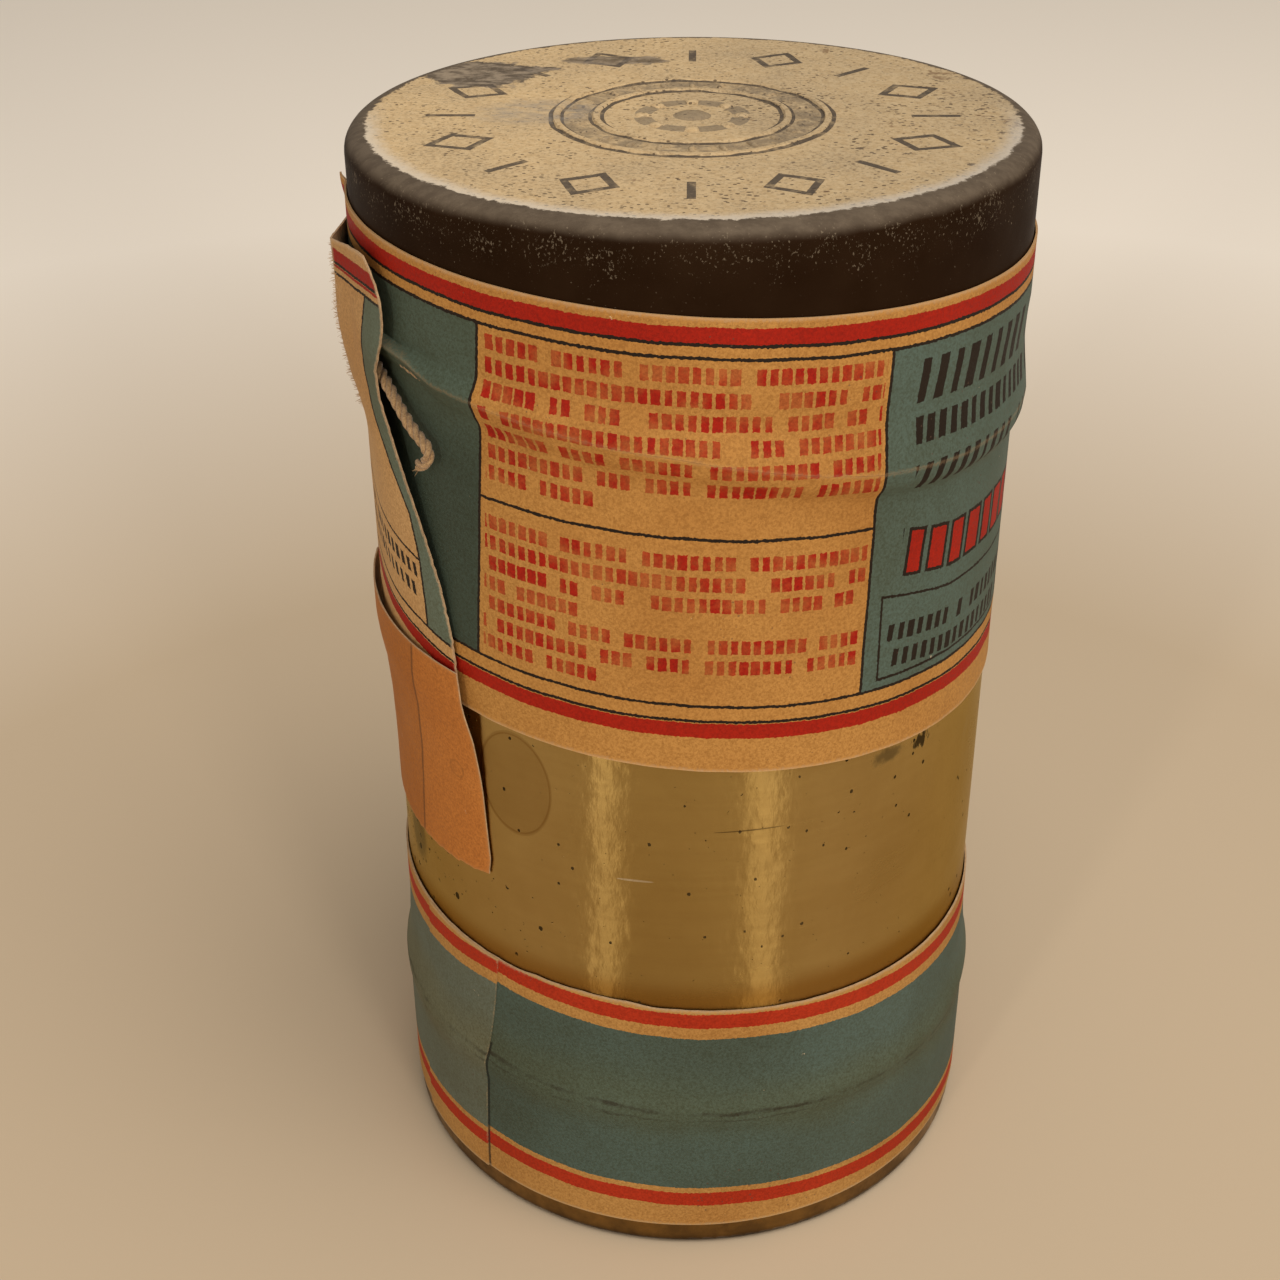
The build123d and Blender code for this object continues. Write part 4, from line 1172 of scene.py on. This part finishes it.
line = evenly(middle, 0.25 * mm)
stringEnd = twistedTwine("stringEnd", line)
tip, tipWay = line[-1], (line[-1] - line[-6]).normalized()
outward = Vector((tip.x, tip.y, 0)).normalized()
hairs = []
hairCount, hairRadius = stringSizes["fray"]
for index in range(hairCount):
    spread = [ripple(index * 0.73, 3.1, at) for at in (0.2, 5.4, 9.9)]
    start = tip - tipWay * (0.15 + 0.45 * abs(spread[0])) * mm + Vector(spread) * 0.5 * mm
    way = (tipWay + Vector((spread[1], spread[2], spread[0] - 0.15)) * 1.4 + outward * 0.15).normalized()
    length = (0.55 + 0.75 * abs(spread[2])) * mm
    bend = Vector((spread[2], spread[0], -0.5)) * 0.4 * mm
    hairs.append([start + way * length * part + bend * part * part for part in (0, 0.3, 0.6, 1.0)])
stringFray = fibreTuft("stringFray", hairs, hairRadius, twineFibre)

# paper fibres that stand up along the flap's worn corner and its torn edge
fuzzSizes = {"corner": 210, "edge": 120, "radius": 0.045}
flapHairs = []
for index in range(fuzzSizes["corner"] + fuzzSizes["edge"]):
    dice = [ripple(index * 0.61, at, 4.4) for at in (0.7, 3.9, 7.3)]
    onCorner = index < fuzzSizes["corner"]
    if onCorner:
        part = (-73.6 + 3.4 * dice[0] - flapSizes["root"]) / (-54.5 - flapSizes["root"])
        rise = 0.60 + 0.39 * (index / fuzzSizes["corner"])
    else:
        part, rise = 1.0, 0.28 + 0.72 * (index - fuzzSizes["corner"]) / fuzzSizes["edge"]
    azimuth, radius, height = flapPlace(part, rise)[:3]
    start = aroundTin(azimuth, radius - 0.05, height)
    outward = Vector((start.x, start.y, 0)).normalized()
    sideways = Vector((-outward.y, outward.x, 0))
    out, lean = (0.9, -0.25) if onCorner else (0.25, 0.9)
    way = (outward * out + sideways * (lean + 0.9 * dice[1]) + Vector((0, 0, 0.9 * dice[2]))).normalized()
    length = (0.35 + 0.6 * abs(dice[0] + dice[2])) * mm
    droop = Vector((dice[2], dice[1], dice[0])) * 0.25 * mm
    flapHairs.append([start + way * length * at + droop * at * at for at in (0, 0.35, 0.7, 1.0)])
flapFuzz = fibreTuft("flapFuzz", flapHairs, fuzzSizes["radius"], paperBack, sides=3)
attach(flapFuzz, "tin")
for piece in (stringEnd, stringFray):
    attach(piece, "tin")
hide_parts("string_end")

# the tear string under the wrapper, all the way round
loopPoints = []
first, last, radius = stringSizes["channel"]
for step in range(241):
    azimuth = first + (last - first) * step / 240
    loopPoints.append(aroundTin(azimuth, radius, stringHeight(azimuth, radius)))
loopPoints.append(routePoints[0])
tearString = twistedTwine("tearString", evenly(loopPoints, 0.5 * mm), sides=7)
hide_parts("tear_string")
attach(tearString, "tin")
print("string made")


# inside: paper sleeve, cotton pad, rolls, compresses, ampoule and leaflet
linerSizes = {"start": -172.0, "span": 372.0, "foot": 1.6, "height": 137.1, "radius": 39.56, "lapFrom": 182}


def linerPlace(part, rise):
    azimuth = linerSizes["start"] + linerSizes["span"] * part
    tall = linerSizes["height"] + 0.5 * ripple(azimuth / 14, 2.0, 6.0) + 0.15 * ripple(azimuth / 3, 7.0, 1.0)
    height = linerSizes["foot"] + rise * tall
    inward = 0.25 * smooth(linerSizes["lapFrom"], linerSizes["lapFrom"] + 8, azimuth)
    inward += 0.12 * abs(ripple(azimuth / 9, height / 22, 3.0)) * smooth(4, 20, height)
    edge = linerSizes["foot"] + linerSizes["height"] - height
    return azimuth, linerSizes["radius"] - inward, height, azimuth, height, 9, edge


linerSleeve = paperSheet("linerSleeve", 220, 40, linerPlace, linerPaper, linerPaper, thickness=0.16)
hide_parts("liner_sleeve")
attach(linerSleeve, "tin")

padSizes = {"radius": 38.9, "foot": 1.75, "top": 15.6, "round": 3.4}
padMiddle, padRound = padSizes["radius"] - padSizes["round"], padSizes["round"]
padSection = [(radius, padSizes["foot"]) for radius in (0.01, 6, 12, 18, 24, 30)]
padSection += arc(padMiddle, padSizes["foot"] + padRound, padRound, range(-90, 1, 18))
padSection += arc(padMiddle, padSizes["top"] - padRound, padRound, range(0, 91, 18))
padSection += [(radius, padSizes["top"]) for radius in (32, 28, 24, 20, 16, 12, 8, 4, 0.01)]
cottonPad = turnedPiece("cottonPad", padSection, 120, cottonFibre)
useModifier(cottonPad, "SUBSURF", levels=1, render_levels=1)
for vertex in cottonPad.data.vertices:
    x, y, z = vertex.co / mm
    tuft = 0.5 * ripple(x / 6, y / 6, z / 6) + 0.25 * ripple(x / 2.2, y / 2.2, z / 2.2) - 0.35
    if z > 8:
        vertex.co.z += tuft * mm
    if hypot(x, y) > 30:
        vertex.co.x *= 1 + tuft / 60
        vertex.co.y *= 1 + tuft / 60
smoothEdges(cottonPad, 70)
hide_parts("cotton_pad")
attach(cottonPad, "tin")
print("sleeve and pad made")

rollSizes = {"core": 1.7, "radius": 15.75, "turns": 13.0, "foot": 15.8, "length": 79.7, "centre": 22.8,
             "bandRadius": 15.86, "bandTurns": 1.06, "bandFoot": 42.9, "bandLength": 25.6}


def rollPlace(part, rise):
    turn = 2 * pi * rollSizes["turns"] * part
    core, growth = rollSizes["core"], rollSizes["radius"] - rollSizes["core"]
    radius = core + growth * part + 0.12 * ripple(part * 60, 1.0, 4.0)
    slip = 0.45 * ripple(part * 9, 2.0, 2.0) + 0.3 * ripple(part * 40, 5.0, 2.0) - 0.5
    height = rollSizes["foot"] + rise * rollSizes["length"] + slip * smooth(0.9, 1.0, rise)
    length = pi * (2 * core * part + growth * part * part) * rollSizes["turns"]
    return None, (radius * cos(turn), radius * sin(turn)), height, length, height, 9, 9


def rollBandPlace(part, rise):
    turn = 2 * pi * rollSizes["bandTurns"] * part
    radius = rollSizes["bandRadius"] + 0.1 * part
    length = rollSizes["bandLength"]
    up = rise * length
    height = rollSizes["bandFoot"] + up
    place = (radius * cos(turn), radius * sin(turn))
    return None, place, height, radius * turn, up - length / 2, 9, min(up, length - up)


def copied(piece, name, move):
    mesh = piece.data.copy()
    mesh.name = name
    mesh.transform(move)
    return linked(name, mesh)


firstRoll = paperSheet("gauzeRoll", 520, 10, rollPlace, rollWeave, rollWeave, thickness=0.72)
firstBand = paperSheet("rollBand", 90, 8, rollBandPlace, rollPaper, rollPaper, thickness=0.1)
for index in range(4):
    angle = radians(45 + 90 * index)
    spin = Matrix.Rotation(radians(140 + 103 * index), 4, "Z")
    shift = Matrix.Translation(Vector((rollSizes["centre"] * cos(angle), rollSizes["centre"] * sin(angle), 0)) * mm)
    roll = copied(firstRoll, f"gauzeRoll{index + 1}", shift @ spin)
    band = copied(firstBand, f"rollBand{index + 1}", shift @ spin)
    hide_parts(f"gauze_roll_{index + 1}")
    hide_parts(f"roll_band_{index + 1}")
    for piece, slot in ((roll, "gauze"), (band, "roll_paper")):
        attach(piece, "tin")
bpy.data.objects.remove(firstRoll)
bpy.data.objects.remove(firstBand)
print("rolls made")

compressSizes = {"side": 51.6, "thick": 2.74, "foot": 95.73, "pitch": 2.8, "layers": 4, "turns": (0, 2.5, -2, 1.5, -1)}
half = compressSizes["side"] / 2
for index, turned in enumerate(compressSizes["turns"]):
    compress = primitive(f"compress{index + 1}", bpy.ops.mesh.primitive_cube_add, size=1)
    editWhole(compress, (bpy.ops.mesh.subdivide, {"number_cuts": 23}))
    foot = compressSizes["foot"] + index * compressSizes["pitch"]
    for vertex in compress.data.vertices:
        x, y, z = vertex.co.x * 2, vertex.co.y * 2, vertex.co.z + 0.5
        edge = max(abs(x), abs(y))
        corner = 1 - 0.045 * smooth(0.88, 1.0, abs(x)) * smooth(0.88, 1.0, abs(y))  # rounded corners
        layer = abs(sin(pi * compressSizes["layers"] * z))
        fold = 1.0 if x < -0.98 and abs(y) < 0.98 else 0.55  # folded side on the left, cut layers elsewhere
        draw = 1 - 0.016 * fold * (1 - layer ** 0.6) * smooth(0.9, 1.0, edge)
        wave = 0.16 * ripple(x * 4, y * 4, index * 3.0 + z) + 0.08 * ripple(x * 11, y * 11, index * 5.0)
        crowned = 1 - 0.10 * smooth(0.8, 1.0, edge)
        vertex.co.x = x * half * corner * draw * mm
        vertex.co.y = y * half * corner * draw * mm
        vertex.co.z = (foot + compressSizes["thick"] * (0.5 + (z - 0.5) * crowned) - 0.05 * (1 + wave * 4) * z) * mm
    compress.data.transform(Matrix.Rotation(radians(turned), 4, "Z"))
    setMaterials(compress, padWeave)
    smoothEdges(compress, 60)
    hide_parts(f"compress_{index + 1}")
    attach(compress, "tin")
print("compresses made")

ampouleSizes = {
    "y": 12.0,
    "z": 114.25,
    # radius and place along the ampoule, outside and then back along the inside
    "section": [(0.01, -22.9), (1.5, -22.85), (2.9, -22.3), (3.9, -21.3), (4.4, -19.8), (4.45, -18), (4.45, -8),
                (4.45, 2), (4.45, 8.5), (4.3, 10.0), (3.7, 11.4), (2.6, 12.6), (1.8, 13.6), (1.5, 14.8), (1.45, 17),
                (1.5, 19.5), (1.55, 21.0), (1.35, 22.2), (0.7, 22.8), (0.01, 22.9), (0.01, 21.8), (0.6, 21.5),
                (0.9, 20.8), (0.9, 17), (0.95, 14.9), (1.25, 13.8), (2.1, 12.7), (3.2, 11.2), (3.75, 9.8),
                (3.86, 8.4), (3.86, 0), (3.86, -10), (3.86, -18), (3.8, -19.6), (3.4, -20.8), (2.6, -21.7),
                (1.3, -22.2), (0.01, -22.3)],
}
ampoule = turnedPiece("ampoule", ampouleSizes["section"], 48, ampouleGlass)
useModifier(ampoule, "SUBSURF", levels=1, render_levels=1)
lying = Matrix.Translation(Vector((0, ampouleSizes["y"], ampouleSizes["z"])) * mm)
ampoule.data.transform(lying @ Matrix.Rotation(pi / 2, 4, "Y"))
smoothEdges(ampoule, 80)
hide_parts("ampoule_glass")
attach(ampoule, "tin")

leafletSizes = {"length": 45.6, "width": 19.8, "layers": 4, "foot": 109.82, "pitch": 0.33, "y": -13.0}


def leafletPlace(part, rise):
    # four layers folded to and fro, joined by round folds
    layers, pitch = leafletSizes["layers"], leafletSizes["pitch"]
    run, bend = leafletSizes["width"] - pitch, pi * pitch / 2
    walked = rise * (layers * run + (layers - 1) * bend)
    layer = min(layers - 1, int(walked // (run + bend)))
    at = walked - layer * (run + bend)
    way = 1 if layer % 2 == 0 else -1
    if at <= run:
        y, z = way * (at - run / 2), layer * pitch
    else:
        angle = (at - run) / bend * pi
        y, z = way * (run / 2 + sin(angle) * pitch / 2), layer * pitch + (1 - cos(angle)) * pitch / 2
    x = (part - 0.5) * leafletSizes["length"]
    z += 0.10 * (layer / 3) * (0.5 + 0.5 * ripple(x / 12, y / 9, layer * 2.0))
    edge = min(leafletSizes["length"] / 2 - abs(x), 9)
    return None, (x, leafletSizes["y"] + y), leafletSizes["foot"] + z, x, y, 9, edge


leafletSheet = paperSheet("leafletSheet", 24, 132, leafletPlace, leafletPrint, leafletPrint, thickness=0.1)
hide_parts("leaflet")
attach(leafletSheet, "tin")
print("ampoule and leaflet made")

# floor and lights
floorSizes = {"size": 6.0, "near": (0.56, 0.43, 0.29), "far": (0.96, 0.85, 0.72)}
floorPlane = primitive("floorPlane", bpy.ops.mesh.primitive_plane_add, size=floorSizes["size"])
floorFinish = Finish("floorPale", floorSizes["near"])
away = floorFinish.spot((0, 0, 0), (1000, 1000, 1000))
floorFinish.paint(away.ramp((0.16, 0.0), (0.42, 1.0)), floorSizes["far"])
setMaterials(floorPlane, floorFinish.done(rough=1.0, level=0.0))

lampSizes = {  # azimuth, elevation, distance, width and height, power, colour
    "leftLamp": (-28, 14, 2.2, (0.15, 0.8), 9.2, (1.0, 0.97, 0.93)),
    "rightLamp": (26.5, 14, 2.2, (0.34, 0.8), 11.5, (1.0, 0.97, 0.93)),
    "topLamp": (42, 68, 1.1, (0.8, 0.8), 8.4, (1.0, 0.98, 0.95)),
}
for name, (azimuth, elevation, distance, size, power, color) in lampSizes.items():
    lampData = bpy.data.lights.new(name, "AREA")
    lampData.shape = "RECTANGLE"
    lampData.size, lampData.size_y = size
    lampData.energy = power
    lampData.color = color
    lampObject = linked(name, lampData)
    turn, lift = radians(azimuth), radians(elevation)
    toward = Vector((sin(turn) * cos(lift), -cos(turn) * cos(lift), sin(lift)))
    lampObject.location = toward * distance + Vector((0, 0, 0.07))
    lampObject.rotation_euler = toward.to_track_quat("Z", "Y").to_euler()

world = bpy.data.worlds.new("paleRoom")
world.use_nodes = True
sky = world.node_tree.nodes["Background"].inputs
sky[0].default_value = (0.98, 0.95, 0.9, 1.0)
sky[1].default_value = 0.40
bpy.context.scene.world = world
bpy.context.scene.view_settings.view_transform = "Standard"
print("stage lit")

nodeLooks = {"bottom_cap": baseLacquer, "lid_gasket": redRubber, "base_gasket": redRubber, "lid_lining": greyCard,
             "base_lining": greyCard, "ampoule_powder": palePowder}
for name, material in nodeLooks.items():
    setMaterials(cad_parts[name], material)
